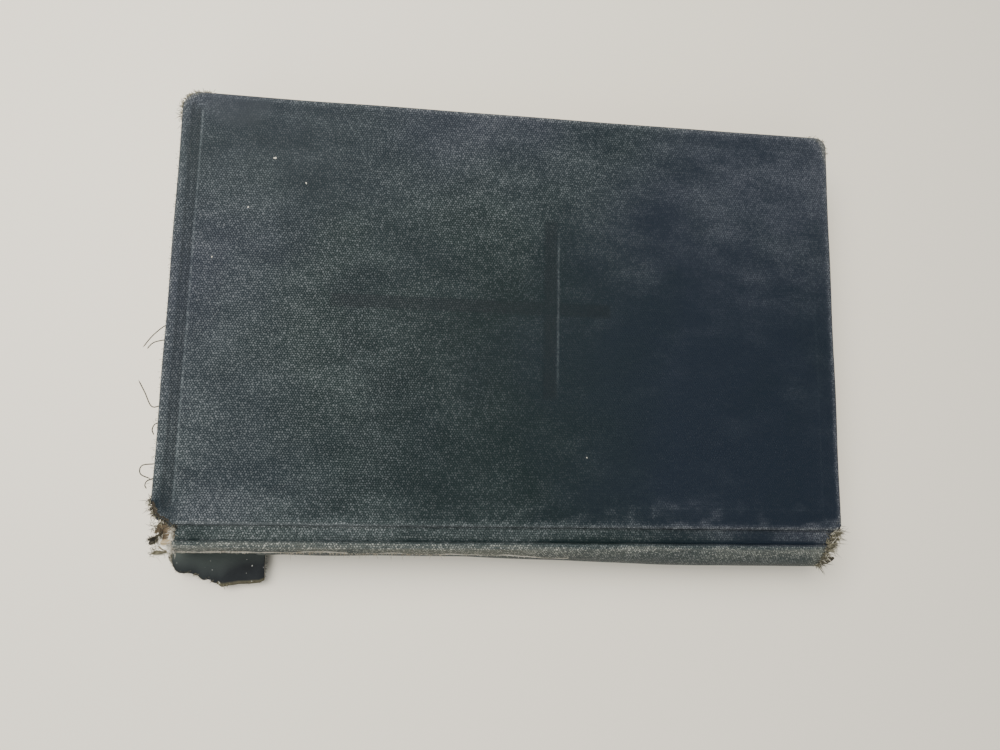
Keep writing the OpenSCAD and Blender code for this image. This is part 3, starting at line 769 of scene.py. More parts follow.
# %% Points of a cover
def round_corner(s, t, depth, sx, sy, r):
    """A corner of radius r. The larger of the two distances into the corner's square picks the
    ring, and the place along the square's side picks the angle on it. Returns which points lie
    here, the ring's distance m, the angle, the distance past the rim, and the radius and height."""
    a = sx * s - (HALF_LEN - r)
    b = sy * t - (FORE_Y - r)
    here = (a > 0) & (b > 0)
    m = np.maximum(a, b)
    phi = np.where(a >= b, np.pi / 4 * b / np.maximum(a, 1e-9), QUARTER - np.pi / 4 * a / np.maximum(b, 1e-9))
    share = smooth(phi / QUARTER) if sy < 0 else 0.0
    rim = RIM + (JOINT_RIM - RIM) * share
    d = m - (r - rim)
    at_joint = (sy < 0) & (share > 0.5)
    out, z = (np.where(at_joint, joint, edge) for joint, edge in zip(
        over_joint_edge(np.maximum(d, 0), depth), over_edge(np.maximum(d, 0), rim, depth)))
    radius = np.where(d > 0, np.maximum(r + out, 0.05), m)
    return here, m, phi, d, radius, np.where(d > 0, z, TOP - depth)


def cover_points(s, t, depth, corners, seed, broken):
    """Places the flat sheet (s along X, t along Y) on the cover, at a depth under its face. Also
    returns how far each point is past a worn edge, and which points have broken away."""
    ds = np.abs(s) - (HALF_LEN - RIM)
    out, edge_z = over_edge(np.maximum(ds, 0), RIM, depth)
    x = np.where(ds > 0, np.sign(s) * (HALF_LEN + out), s)
    z = np.where(ds > 0, edge_z, TOP - depth)
    df = t - (FORE_Y - RIM)
    out, edge_z = over_edge(np.maximum(df, 0), RIM, depth)
    y = np.where(df > 0, FORE_Y + out, t)
    z = np.where(df > 0, edge_z, z)
    dj = -t - (FORE_Y - JOINT_RIM)
    out, edge_z = over_joint_edge(np.maximum(dj, 0), depth)
    y = np.where(dj > 0, -FORE_Y - out, y)
    z = np.where(dj > 0, edge_z, z)
    worn_at = np.maximum(np.maximum(ds, df), dj)
    gone = np.zeros(s.shape, bool)
    for sx, sy, r in corners:
        here, m, phi, past_rim, radius, corner_z = round_corner(s, t, depth, sx, sy, r)
        if broken and sx < 0 and sy < 0:
            curl = smooth((m - r + 2.2) / 2.2)
            radius = np.minimum(m, r) + (0.45 * np.sin(phi * 9 + 1) + 0.3 * np.sin(phi * 23)) * curl
            corner_z = TOP - depth - 0.55 * curl
            gone |= here & (m > r + 0.02)
            past_rim = m - r
        x = np.where(here, sx * (HALF_LEN - r + radius * np.cos(phi)), x)
        y = np.where(here, sy * (FORE_Y - r + radius * np.sin(phi)), y)
        z = np.where(here, corner_z, z)
        worn_at = np.where(here, past_rim, worn_at)
    edge = np.maximum(np.abs(x) / HALF_LEN, np.abs(y) / FORE_Y)
    pull = smooth((edge - 0.9) / 0.1) * 0.22
    x = x - np.sign(x) * pull * (0.5 + 0.5 * ripple(y, z, seed, 23.0)) * (np.abs(x) > 80)
    y = y - np.sign(y) * pull * (0.5 + 0.5 * ripple(x, z, seed + 1, 31.0)) * (y > 40)
    z = z - 0.10 * (1 + ripple(x, y, seed + 2, 60.0)) * (z > 23)
    return np.stack([x, y, z], -1), worn_at, gone


def cover_grid():
    """The flat sheet's grid: fine near the edges, wide in the middle, and past each edge the
    distances at which its rounded section is sampled."""
    past = np.array([0.35, 0.7, 1.06, 1.414, 1.9, 2.6, 3.264, 3.4, 3.53, 3.657, 4.6, 5.8, 6.95])
    end = HALF_LEN - RIM
    xs = np.concatenate([np.arange(-end, -end + 9, 0.45), np.linspace(-end + 9, end - 9, 108),
                         np.arange(end - 8.6, end, 0.6), [end]])
    s = np.concatenate([-(end + past[::-1]), np.unique(xs.round(3)), end + past])
    low, high = -(FORE_Y - JOINT_RIM), FORE_Y - RIM
    ys = np.concatenate([np.arange(low, low + 8, 0.45), np.linspace(low + 8, high - 8, 66),
                         np.arange(high - 7.6, high, 0.6), [high]])
    joint = low - np.array([2.2, 1.76, 1.32, 0.88, 0.44])
    return np.meshgrid(s, np.concatenate([joint, np.unique(ys.round(3)), high + past]), indexing="ij")


# %% [markdown]
# Where a cover is worn, and where a painted sheen lightens it, is given as sums of soft patches. A
# patch is a ramp across the cover, or a spot that fades with the distance from its middle.

# %% Wear and painted sheen of a cover
def spot(x, y, middle, reach, top=1.0):
    """A soft spot: 1 at its middle, falling to 0 at its reach in X and in Y. A top above 1 makes
    its middle broader."""
    return smooth(top - np.hypot((x - middle[0]) / reach[0], (y - middle[1]) / reach[1]))


def corner_rub(x, y):
    """Rubbing of the four corners, and of the slanted one at the head's fore-edge."""
    total = 0
    for sx, sy, reach in ((-1, 1, 9.0), (1, 1, 7.0), (-1, -1, 6.0), (1, -1, 6.0)):
        total = total + spot(x, y, (sx * HALF_LEN, sy * FORE_Y), (reach, reach))
    return total + 0.7 * spot(x, y, (HALF_LEN, FORE_Y - 5), (3.5, 6), 1.2)


def cover_wear_and_sheen(x, y, worn_at, seed, broken):
    """Wear of a cover with painted sheen: broad patches, mostly painted sheen towards the tail and the
    fore-edge and partly rubbing from handling, its rim, its corners and the line beside the joint,
    where painted light also lifts the shaded side of the edge, less the dirt at the broken corner."""
    rim = smooth((worn_at + 1.3) / 1.9) * (1 - 0.70 * smooth((worn_at - 1.2) / 1.3))
    # Painted sheen: the broad terms lighten the cloth towards the tail and the fore-edge, where the lamp's
    # reflection falls, on top of rubbing from handling.
    broad = (0.02 + 0.23 * smooth((32 - x) / 132) + 0.06 * smooth((-62 - x) / 25)
             + 0.205 * smooth((y + 8) / 54) * smooth((x + 65) / 65)
             + 0.07 * smooth((x - 45) / 35) * smooth((y + 30) / 40) * (1 - 0.6 * smooth((y - 30) / 25))
             - 0.11 * smooth((y - 20) / 32) * smooth((-60 - x) / 20)
             + 0.03 * ripple(x, y, seed + 5, 40.0))
    # Painted light: the line beside the joint is rubbed lighter, and also lightens the steep shaded side of
    # the rounded edge there.
    joint_line = smooth((worn_at - 0.2) / 0.8) * (y < -50)
    clusters = smooth((ripple(x, y, seed + 9, 8.0) + 0.5 * ripple(x, y, seed + 10, 3.5) - 0.15) / 0.5)
    near_joint = (0.10 * smooth((-y - 46) / 12) * smooth((-5 - x) / 70)
                  + smooth((-y - 47) / 11) * (0.02 + 0.16 * clusters * smooth((x + 30) / 60)))
    dirt = 0.35 * spot(x, y, (-93, -54), (8, 8)) * broken
    rim_wear = np.where(y < -57, 0.15, np.where(x < -92, 0.34, 0.48))
    return np.clip(broad + near_joint + rim_wear * rim + 0.45 * corner_rub(x, y)
                   + 0.50 * joint_line - dirt, 0, 1)


def cover_slick(x, y):
    """Where hands rubbed the grain of the front cover flat."""
    return np.clip(spot(x, y, (-80, 56), (8.5, 5.5), 1.4)
                   + 0.45 * smooth((y - 18) / 25) * smooth((-35 - x) / 30)
                   + 0.50 * smooth((x - 35) / 30) * smooth((y - 10) / 25), 0, 1)


def cover_cast(x, y, seed):
    """Blue cast towards the head, the fore-edge and the tail. The middle stays green."""
    towards = np.maximum(np.maximum((x + 8) / 64, (y - 15) / 60), (-45 - x) / 75)
    return smooth(towards + 0.15 * ripple(x, y, seed + 6, 55.0))


# %% Cover cloth
def cover_cloth(name, corners, seed, broken, stamped):
    """The sheet of one cover as it lies in front. The back cover's is turned over in height."""
    s, t = cover_grid()
    outer, worn_at, gone = cover_points(s, t, 0.0, corners, seed, broken)
    inner, _, _ = cover_points(s, t, CLOTH, corners, seed, broken)
    there = ~(gone[:-1, :-1] | gone[1:, :-1] | gone[:-1, 1:] | gone[1:, 1:])
    x, y = outer[..., 0], outer[..., 1]
    looks = [cover_finish if stamped else cloth_finish, inner_finish, frayed_finish]
    return sheet_piece(name, outer, inner, there, looks, np.stack([s, t], -1), joined=(0,),
                       wear=cover_wear_and_sheen(x, y, worn_at, seed, broken), slick=cover_slick(x, y) * stamped,
                       cast=cover_cast(x, y, seed), fray=0 * x, tan=0.15 + 0.6 * smooth(corner_rub(x, y)))


def turn_to_back(piece):
    """Turns a front piece over into its place at the back, and turns its faces outwards again."""
    mesh = piece.data
    places = np.empty(len(mesh.vertices) * 3)
    mesh.vertices.foreach_get("co", places)
    places = places.reshape(-1, 3)
    places[:, 2] = TOP * 0.001 - places[:, 2]
    mesh.vertices.foreach_set("co", places.ravel())
    mesh.flip_normals()
    mesh.update()
    return piece


front_corners = ((-1, 1, 4.9), (1, 1, 3.4), (1, -1, 1.8), (-1, -1, 6.2))
front_cover = cover_cloth("front_cover_cloth", front_corners, seed=11, broken=True, stamped=True)
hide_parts("front_cloth")
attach(front_cover, "front_cover")
back_corners = ((-1, 1, 2.4), (1, 1, 2.4), (1, -1, 1.8), (-1, -1, 1.8))
back_cover = turn_to_back(cover_cloth("back_cover_cloth", back_corners, seed=31, broken=False, stamped=False))
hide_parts("back_cloth")
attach(back_cover, "back_cover")

# %% [markdown]
# ## Joints
# Between the board's edge and the shoulder of the pages the cloth is pressed into a groove, so
# that the cover can swing. Behind it the endpaper runs across flat. Both bend when a cover opens;
# here each is a strip that runs from the pages at one edge to the cover at the other.

# %% Groove section
BEND_R = 1.0                          # radius of the groove's two bends
FLOOR_START, FLOOR_END = -60.4, -62.4
JOINT_FLAT = -60.2                    # the cover's flat measure where the joint takes it on
FOLD_Z, FOLD_THICK = 20.8, 0.3        # the endpaper where it crosses behind the groove


def groove_section(depth):
    """From the board's edge down into the groove, along its floor, up the shoulder and over the
    ridge: quarter circles joined by straight lines. Returns Y, Z and the distance along it."""
    q = np.linspace(0, QUARTER, 9)
    r = BEND_R + depth
    floor = np.linspace(FLOOR_START, FLOOR_END, 6)[1:-1]
    arcs = ((FLOOR_START + r * np.cos(q), GROOVE_Z - r * np.sin(q), q),
            (floor, np.full(4, GROOVE_Z - BEND_R - depth), (FLOOR_START - floor) + QUARTER),
            (FLOOR_END - r * np.sin(q), GROOVE_Z - r * np.cos(q), q + QUARTER + 2),
            (RIDGE_Y + (RIDGE_R - depth) * np.cos(q), SHOULDER_Z + (RIDGE_R - depth) * np.sin(q),
             q * RIDGE_R + np.pi + 2.2))
    return [np.concatenate(values) for values in zip(*arcs)]


def joint_cloth(name, tail_cut, head_cut, seed):
    """The groove's section carried along the spine. Each end is worn back, less beside the board."""
    y0, z0, run = groove_section(0.0)
    y1, z1, _ = groove_section(CLOTH)
    across = run / run[-1]
    rows = np.arange(len(run))
    u = np.linspace(0, 1, 240)[:, None]
    tail = -HALF_LEN + tail_cut[1] + (tail_cut[0] - tail_cut[1]) * across + 0.3 * ragged(rows + seed)
    head = (HALF_LEN - head_cut[1] - (head_cut[0] - head_cut[1]) * across ** 2
            + 0.3 * ragged(rows + seed + 5))
    x = tail + (head - tail) * u
    sag = 0.16 * ripple(x, run * 2, seed, 26.0) * np.sin(np.pi * np.clip(across * 1.25, 0, 1))
    outer = np.stack([x, y0 + 0 * x, z0 + sag], -1)
    inner = np.stack([x, y1 + 0 * x, z1 + sag], -1)
    flat = np.stack([x, JOINT_FLAT - run + 0 * x], -1)
    ridge = smooth((across - 0.74) / 0.2)
    ends = smooth(1 - np.abs(np.abs(x) - 90) / 6)
    # Painted light and shade: a share just below the board's edge lightens the groove's shaded wall, a dark
    # band where the groove rises to the shoulder is painted shade, and a painted sheen that lightens the
    # cloth falls off towards the head.
    joint_sheen_and_handling = 1 - 0.52 * smooth((x + 60) / 110)
    painted_groove_shade = (0.40 - 0.30 * joint_sheen_and_handling) * smooth(1 - np.abs(across - 0.62) / 0.16)
    wear = np.clip(joint_sheen_and_handling * (0.50 * (1 - smooth(across / 0.3)) + 0.44 + 0.34 * ridge)
                   + 0.55 * (1 - joint_sheen_and_handling) * smooth((across - 0.86) / 0.14)
                   + 0.12 * ripple(x, run, seed + 3, 18.0) + 0.25 * ends - painted_groove_shade, 0, 1)
    there = np.ones((len(u) - 1, len(run) - 1), bool)
    return sheet_piece(name, outer, inner, there, [cloth_finish, inner_finish, torn_finish], flat,
                       flip=True, joined=(0, 2), wear=wear, slick=0 * x, fray=0 * x,
                       cast=smooth((x - 10) / 80) * (1 - smooth((across - 0.8) / 0.2)),
                       tan=0.2 + 0.55 * smooth((across - 0.7) / 0.3) + 0 * x)


def endpaper_fold(name, seed):
    """Thin strip of endpaper that crosses flat behind the groove."""
    y = np.linspace(SHOULDER_Y, BOARD_Y, 11)
    x = np.linspace(-PAGE_X, PAGE_X, 140)[:, None]
    z = np.minimum(FOLD_Z + 0.03 * ripple(x, y * 3, seed, 30.0), FOLD_Z + 0.02)
    low = np.stack(np.broadcast_arrays(x, y, z), -1)
    high = low + np.array([0, 0, FOLD_THICK])
    there = np.ones((len(x) - 1, len(y) - 1), bool)
    return sheet_piece(name, high, low, there,
                       [glue_paper_finish, paper_finish, glue_paper_finish], low[..., :2])


def hang(piece, node):
    """Bakes a strip's place into its points and hides the solid that it stands for."""
    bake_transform(piece)
    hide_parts(node)


front_groove = joint_cloth("front_joint_cloth", (6.2, 6.0), (6.0, 1.2), 3)
hang(front_groove, "front_joint")
back_groove = turn_to_back(joint_cloth("back_joint_cloth", (3.0, 1.0), (1.5, 0.6), 8))
hang(back_groove, "back_joint")
front_fold = endpaper_fold("front_endpaper_fold", 5)
hang(front_fold, "front_joint")
back_fold = turn_to_back(endpaper_fold("back_endpaper_fold", 6))
hang(back_fold, "back_joint")

# %% [markdown]
# ## Torn spine cloth
# The spine cloth runs from ridge to ridge over the rounded back. A long tear runs under the front
# ridge, and a second one across the spine frees a flap that has fallen towards the table. Between
# the flap and the middle the cloth has sunk onto the pages, and towards the head it still stands
# out over its card strip. Each place along the spine has its own arc, which touches both ridges.

# %% Spine arcs
EAR = SHOULDER_Z - MID_Z           # height of a ridge's centre above the middle
TEAR_X, TEAR_END = -69.0, 16.0     # where the long tear crosses the spine, and where it ends
FLAP_Z, BEND = 3.8, 0.8            # height of the loose flap, and the bend at its root
ROOT_Z = FLAP_Z - BEND


def stand_out(x):
    """How far the cloth stands behind the ridge's centre: a sunken part that rises to a full one."""
    gap = 0.05 + 2.45 * smooth((x + 30) / 95)
    return RIDGE_Y - (BACK_Y - LINING_R - gap - CLOTH)


def arc_depth(x):
    """Distance from the ridge's centre to the centre of the arc that touches both ridges."""
    g = stand_out(x) - RIDGE_R
    return (EAR * EAR - g * g) / (2 * g)


def arc_place(x, angle, depth):
    """Y and Z on the arc at an angle from its middle, at a depth under the outer face."""
    r = arc_depth(x) + stand_out(x) - depth
    return RIDGE_Y + arc_depth(x) - r * np.cos(angle), MID_Z + r * np.sin(angle)


def angle_at(x, z):
    """Angle from the arc's middle at which it reaches a height."""
    return np.arcsin((z - MID_Z) / (arc_depth(x) + stand_out(x)))


def tear_z(x):
    """Height of the long tear, which falls towards its end."""
    return SHOULDER_Z - 1.4 - 2.0 * np.clip((x - TEAR_X) / (TEAR_END - TEAR_X), 0, 1)


low_part, high_part = (round(float(stand_out(x)), 2) for x in (-60.0, 80.0))
print("spine stands out (mm):", low_part, "to", high_part)

# %% [markdown]
# The sheet's rows run from the front ridge down: the ridge, the strip above the tear, the body,
# its foot and the back ridge. Its columns run from the tail to the head: the flap, the sunk part,
# the part that rises, and three more that fold the cloth over at the head.

# %% Spine cloth sections
R_RIDGE, R_STRIP, R_BODY, R_FOOT = 8, 5, 30, 4
SLIT = R_RIDGE + R_STRIP
ROOT = SLIT + 1 + R_BODY
LOW = ROOT + R_FOOT
LAST = LOW + R_RIDGE
FLAP_COLS, SUNK_COLS, RISE_COLS = 56, 120, 110
HEAD_COL = FLAP_COLS + 1 + SUNK_COLS + RISE_COLS
ROOT_ROWS = 7                      # rows of the flap that make the bend at its root
SPINE_FLAT = -67.27                # the joint's flat measure where the spine cloth takes it on


def section(x, row, depth):
    """Y and Z of a whole section: front ridge, strip above the tear, body, foot and back ridge."""
    top = np.arctan2(EAR, arc_depth(x))
    slit, slit_end = angle_at(x, tear_z(x)), angle_at(x, tear_z(x) - 0.5)
    root = angle_at(x, ROOT_Z)
    body = slit_end + (root - slit_end) * (row - SLIT - 1) / R_BODY
    foot = root + (-top - root) * (row - ROOT) / R_FOOT
    angle = np.where(row <= SLIT, top + (slit - top) * (row - R_RIDGE) / R_STRIP,
                     np.where(row <= ROOT, body, foot))
    y, z = arc_place(x, angle, depth)
    steps = np.where(row < R_RIDGE, row, LAST - row)
    bend = QUARTER + (QUARTER - top) * steps / R_RIDGE
    turned = (row < R_RIDGE) | (row > LOW)
    side = np.where(row < R_RIDGE, 1, -1)
    y = np.where(turned, RIDGE_Y + (RIDGE_R - depth) * np.cos(bend), y)
    z = np.where(turned, MID_Z + side * (EAR + (RIDGE_R - depth) * np.sin(bend)), z)
    return y, z


def flap_width(x):
    """Width of the loose flap along the spine, to its ragged free edge."""
    at = [-96, -94, -92, -87.5, -84, -82, -81.4, -78, -72.5, -70.2, -69]
    wide = [3.0, 5.6, 7.0, 7.9, 9.1, 10.5, 10.9, 10.4, 10.0, 9.8, 9.2]
    rough = 0.28 * ripple(x, 0, 41, 3.1) * np.where(x < -81, 1.6, 0.4)
    return np.interp(x, at, wide) + rough


def out_on_flap(row):
    """Share of the way from the flap's root bend to its free edge."""
    return np.clip((ROOT - row - ROOT_ROWS) / (R_BODY - ROOT_ROWS), 0, 1)


def flap_section(x, row, depth):
    """Y and Z of the flap: a quarter bend at its root, then a blade that arches a little."""
    root_y = arc_place(x, angle_at(x, ROOT_Z), 0.0)[0]
    turn = QUARTER * np.minimum(1, (ROOT - row) / ROOT_ROWS)
    out = out_on_flap(row)
    rise = 0.9 * np.sin(np.pi * out) + 0.35 * out * ripple(x, out * 9, 42, 14.0)
    return (root_y - BEND + (BEND + depth) * np.cos(turn) - out * flap_width(x),
            ROOT_Z + (BEND + depth) * np.sin(turn) + rise)


# %% Spine cloth points
def column_places(col, row):
    """X of each point. Both ends are ragged, and the tail is worn back furthest above the tear."""
    worn = 0.55 * ragged(row) + 0.35 * ripple(row, 0, 43, 6.0)
    foot = -95.5 + 3.5 * (row - ROOT) / (LAST - ROOT)
    tail = np.where(row <= SLIT, -88.8 + worn, np.where(row <= ROOT, -95.5 + 0.6 * worn, foot))
    t = np.clip(row / (0.7 * LAST), 0, 1)
    head = 89.0 + 6.0 * smooth(t) + np.where(t < 0.8, 0.8 * worn, 0)
    a = (col - FLAP_COLS - 1) / SUNK_COLS
    b = (col - FLAP_COLS - 1 - SUNK_COLS) / RISE_COLS
    x = np.where(col <= FLAP_COLS, tail + (TEAR_X - tail) * col / FLAP_COLS,
                 TEAR_X + 0.5 + (TEAR_END - TEAR_X - 0.5) * a)
    x = np.where(b > 0, TEAR_END + (head - TEAR_END) * np.minimum(b, 1), x)
    return np.where(col == HEAD_COL + 2, head - 15.0, x)


def spine_sheet(depth):
    """Points of one face, with columns from tail to head and rows from the front ridge down."""
    col = np.arange(HEAD_COL + 3)[:, None]
    row = np.arange(LAST + 1)[None, :]
    at_fold = (col == HEAD_COL) | (col == HEAD_COL + 1)
    x = column_places(col, row) - np.where(at_fold, depth, 0)
    deep = np.where(col > HEAD_COL, 2 * CLOTH + 0.7 - depth, depth)
    on_flap = (col <= FLAP_COLS) & (row > SLIT) & (row < ROOT)
    y, z = section(x, row, deep)
    fy, fz = flap_section(x, row, deep)
    y, z = np.where(on_flap, fy, y), np.where(on_flap, fz, z)
    return np.stack(np.broadcast_arrays(x, y, z), -1), on_flap


def spine_cells():
    """Which cells exist: the long tear, the cross tear and the head's fold leave some out, and
    bits are missing at the tail and along the tear."""
    col, row = np.meshgrid(np.arange(HEAD_COL + 2), np.arange(LAST), indexing="ij")
    there = np.where(col < FLAP_COLS + 1 + SUNK_COLS, row != SLIT, True)
    there &= (col != FLAP_COLS) | (row < SLIT) | (row >= ROOT)
    there &= (col < HEAD_COL) | ((row >= 0.6 * LAST) & (row < ROOT))
    there &= ~((col < 2) & (row < ROOT) & (ripple(col * 1.0, row * 3.0, 46, 4.0) > 0.25))
    nicks = ripple(col * 1.0, 0, 47, 7.0) > 0.62
    return there & ~((row == SLIT - 1) & (col < FLAP_COLS + SUNK_COLS) & nicks)


spine_outer, on_flap = spine_sheet(0.0)
spine_inner, _ = spine_sheet(CLOTH)
x = spine_outer[..., 0]
row = np.arange(LAST + 1)[None, :] + 0 * x
tear_edge = np.exp(-np.abs(row - SLIT) / 1.2) * (x < TEAR_END) * (x > -88)
waves = 0.16 * ripple(x, row, 44, 17.0) * smooth((row - 3) / 8) * smooth((LAST - 8 - row) / 8)
lift = np.where(on_flap, 0, waves) + 0.22 * tear_edge * ripple(x, 0, 45, 5.0)
for face in (spine_outer, spine_inner):
    face[..., 1] -= lift
print("spine cloth grid:", spine_outer.shape[:2])

# %% Spine cloth sheet
steps = np.linalg.norm(np.diff(spine_outer, axis=1), axis=2)
run = SPINE_FLAT - np.concatenate([np.zeros((len(steps), 1)), np.cumsum(steps, axis=1)], axis=1)
strip = smooth(1 - np.abs(row - R_RIDGE * 0.6) / 9)
tan_stretch = smooth(1 - np.abs(x + 20) / 60) * smooth(1 - np.abs(row - 10) / 9)
ends = smooth((np.abs(x) - 84) / 6)
spine_wear = np.clip(0.50 + 0.30 * strip + 0.25 * tan_stretch + 0.30 * ends
                     + 0.12 * smooth((-60 - x) / 25) + 0.10 * ripple(x, row, 48, 16.0)
                     + 0.4 * tear_edge - 0.25 * smooth((row - ROOT) / 4), 0, 1)
flap_out = np.where(on_flap, out_on_flap(row), 0)
olive = smooth((flap_out - 0.80) / 0.2) * np.where(x < -82, 0.3, 1.0) + 0.7 * smooth((-92.5 - x) / 3)
# Painted light on the flap's inner face: paler towards its root, against the shade of the bend, stored as
# cast.
reach = 1.05 - 0.55 * smooth((x + 86) / 12)
painted_root_light = np.clip(1.0 - flap_out / reach, 0, 1) ** 1.2
spine_piece = sheet_piece("torn_spine_cloth", spine_outer, spine_inner, spine_cells(),
                          [cloth_finish, inner_finish, torn_finish], np.stack([x, run], -1), flip=True,
                          joined=(0, 2), wear=spine_wear, slick=0 * x,
                          cast=np.where(on_flap, painted_root_light, 0), fray=np.where(on_flap, olive, 0),
                          tan=0.75 + 0.25 * tan_stretch)
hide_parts("spine_cloth")
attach(spine_piece, "text_block")

# %% [markdown]
# ## Pages
# The pages are a pressed stack. Every leaf is cut a hair longer or shorter than its neighbours,
# so the cut edges are finely stepped. The outline of a leaf is a rectangle whose back edge follows
# the rounded spine and whose front edge follows the hollow fore-edge, and the stack is that
# outline repeated at every height.

# %% Page stack
LEAVES = 88
HALF_STACK = 8.58      # half the stack's height away from the shoulders
FLARE = 2.2            # how far the outer leaves bend outwards into the shoulders
HOLLOW = 74            # square of the half height at which the hollow of the fore-edge ends


def leaf_points(level, px, py):
    """Points of the leaf outline. level runs from -1 at the back to 1 at the front, px from -1 to
    1 along the spine and py from 0 at the spine to 1 at the fore-edge. Near the spine the outer
    leaves bend outwards into the shoulders."""
    step = np.rint((level + 1) * LEAVES).astype(int)
    rng = np.random.default_rng(5)
    cut = np.repeat(rng.normal(0, 0.05, LEAVES + 1), 2)[step]
    pulled = np.clip(cut + np.where(step % 2 == 1, 0.0, 0.07) + 0.10 * (step % 16 == 0), -0.04, 0.3)
    y0 = BACK_Y + 0.03 - np.sqrt(BACK_R ** 2 - (EAR * level) ** 2)
    hollow = np.sqrt(BACK_R ** 2 - HOLLOW) - np.sqrt(BACK_R ** 2 - (HALF_STACK * level) ** 2)
    x = (PAGE_X - 0.9 * pulled) * px
    y = y0 + (PAGE_FORE - pulled + hollow - y0) * py
    z = MID_Z + level * (HALF_STACK + FLARE * smooth(1 - (y - y0) / 0.9))
    return np.stack(np.broadcast_arrays(x, y, z), -1)


def page_stack(name):
    """A band of cells round all leaf outlines, closed by the first and the last leaf."""
    long_way = np.linspace(-1, 1, 120)
    deep = np.concatenate([np.arange(5) * 0.0018, np.linspace(0.01, 1, 50)])
    one, nil = np.ones_like, np.zeros_like
    px = np.concatenate([long_way[:-1], one(deep[:-1]), -long_way[:-1], -one(deep)])
    py = np.concatenate([nil(long_way[:-1]), deep[:-1], one(long_way[:-1]), deep[::-1]])
    levels = np.linspace(-1, 1, 2 * LEAVES + 1)
    first, last = (leaf_points(np.array(level), long_way[:, None], deep[None, :]) for level in (-1.0, 1.0))
    grids = (leaf_points(levels[None, :], px[:, None], py[:, None]), first[::-1], last)
    points = np.concatenate([grid.reshape(-1, 3) for grid in grids])
    starts = np.cumsum([0] + [grid.size // 3 for grid in grids])
    quads = [grid_quads(start + np.arange(grid.size // 3).reshape(grid.shape[:2])).reshape(-1, 4)
             for start, grid in zip(starts, grids)]
    piece = mesh_piece(name, points, np.concatenate(quads), [page_finish], smooth_faces=False)
    form = bmesh.new()
    form.from_mesh(piece.data)
    bmesh.ops.remove_doubles(form, verts=form.verts, dist=1e-6)
    bmesh.ops.recalc_face_normals(form, faces=form.faces)
    form.to_mesh(piece.data)
    form.free()
    return piece


pages = page_stack("page_stack")
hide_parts("text_block")
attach(pages, "text_block")
print("page stack faces:", len(pages.data.polygons))

# %% [markdown]
# ## Loose threads and fuzz
# Cloth that wears through shows its threads. A few long dark ones hang from the tail edge, short
# fuzz stands along the worn edges and corners, and a tan fringe grows out of both ends of the
# spine. Each fibre is a thin tube along a bent line, and hundreds of them make one mesh.

# %% Long threads
def thread_path(stops, steps=14):
    """Smooth line through a few stops: each coordinate is a cubic fitted through its neighbours."""
    stops = np.asarray(stops, float)
    padded = np.concatenate([2 * stops[:1] - stops[1:2], stops, 2 * stops[-1:] - stops[-2:-1]])
    u = np.linspace(0, len(stops) - 1.0001, steps)
    k = u.astype(int)
    f = (u - k)[:, None]
    a, b, c, d = (padded[k + n] for n in range(4))
    return 0.5 * (2 * b + (c - a) * f + (2 * a - 5 * b + 4 * c - d) * f ** 2
                  + (3 * b - a - 3 * c + d) * f ** 3)


tail_threads = np.stack([thread_path(stops) for stops in (
    [(-94.2, -6.6, 22.7), (-96.3, -8.1, 22.4), (-99.0, -10.2, 21.0), (-101.5, -12.9, 19.5)],
    [(-94.4, -10.9, 22.2), (-96.6, -11.3, 22.0), (-98.5, -11.9, 21.2), (-100.0, -13.4, 20.6)],
    [(-94.5, -28.6, 22.3), (-97.0, -28.9, 22.2), (-99.2, -25.2, 21.6), (-101.6, -21.7, 20.4)],
    [(-94.6, -43.9, 22.1), (-98.2, -44.4, 22.0), (-98.6, -46.6, 21.6), (-96.0, -47.9, 21.2)],
    [(-94.6, -47.5, 22.0), (-96.6, -48.3, 21.9), (-97.4, -49.5, 21.2), (-97.0, -50.5, 20.9)],
    [(-94.5, -33.0, 22.1), (-96.0, -33.6, 21.7), (-96.8, -35.0, 21.0), (-96.4, -36.4, 20.5)],
)])
threads = fibres("tail_edge_threads", tail_threads, np.full(tail_threads.shape[:2], 0.15), thread_finish)
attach(threads, "front_cover")

# %% Fuzz
LOWEST, HIGHEST = 0.3, 26.0        # no fibre goes below or above these heights


def fuzz(name, starts, way, spread, length, radius, look, body, seed, curl=0.5, floor=LOWEST):
    """Short bent fibres. Each leaves its start along its way, turned by chance, and curls
    further the longer it gets: place = start + length * (way * s + curl * s * s). None goes
    below the floor height, which leaves room for the back cover where it swings past."""
    rng = np.random.default_rng(seed)
    n = len(starts)
    way = np.asarray(way, float) + rng.normal(0, spread, (n, 3))
    way /= np.linalg.norm(way, axis=1, keepdims=True)
    bend = rng.normal(0, curl, (n, 3))
    s = np.linspace(0, 1, 5)[None, :, None]
    size = rng.uniform(*length, n)[:, None, None]
    paths = starts[:, None, :] + size * (way[:, None, :] * s + bend[:, None, :] * s * s)
    paths[..., 2] = np.clip(paths[..., 2], floor, HIGHEST)
    thick = rng.uniform(*radius, n)[:, None] * (1 - 0.5 * s[..., 0])
    piece = fibres(name, paths, thick, look)
    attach(piece, body)


def line_fuzz(name, stops, count, seed, way, spread, length, radius, look, body, jitter=0.25, curl=0.5):
    """Fuzz that starts at random places on a line through some stops."""
    stops = np.asarray(stops, float)
    rng = np.random.default_rng(seed)
    u = rng.uniform(0, len(stops) - 1, count)
    k = u.astype(int)
    f = (u - k)[:, None]
    starts = stops[k] * (1 - f) + stops[k + 1] * f + rng.normal(0, jitter, (count, 3))
    fuzz(name, starts, way, spread, length, radius, look, body, seed, curl)


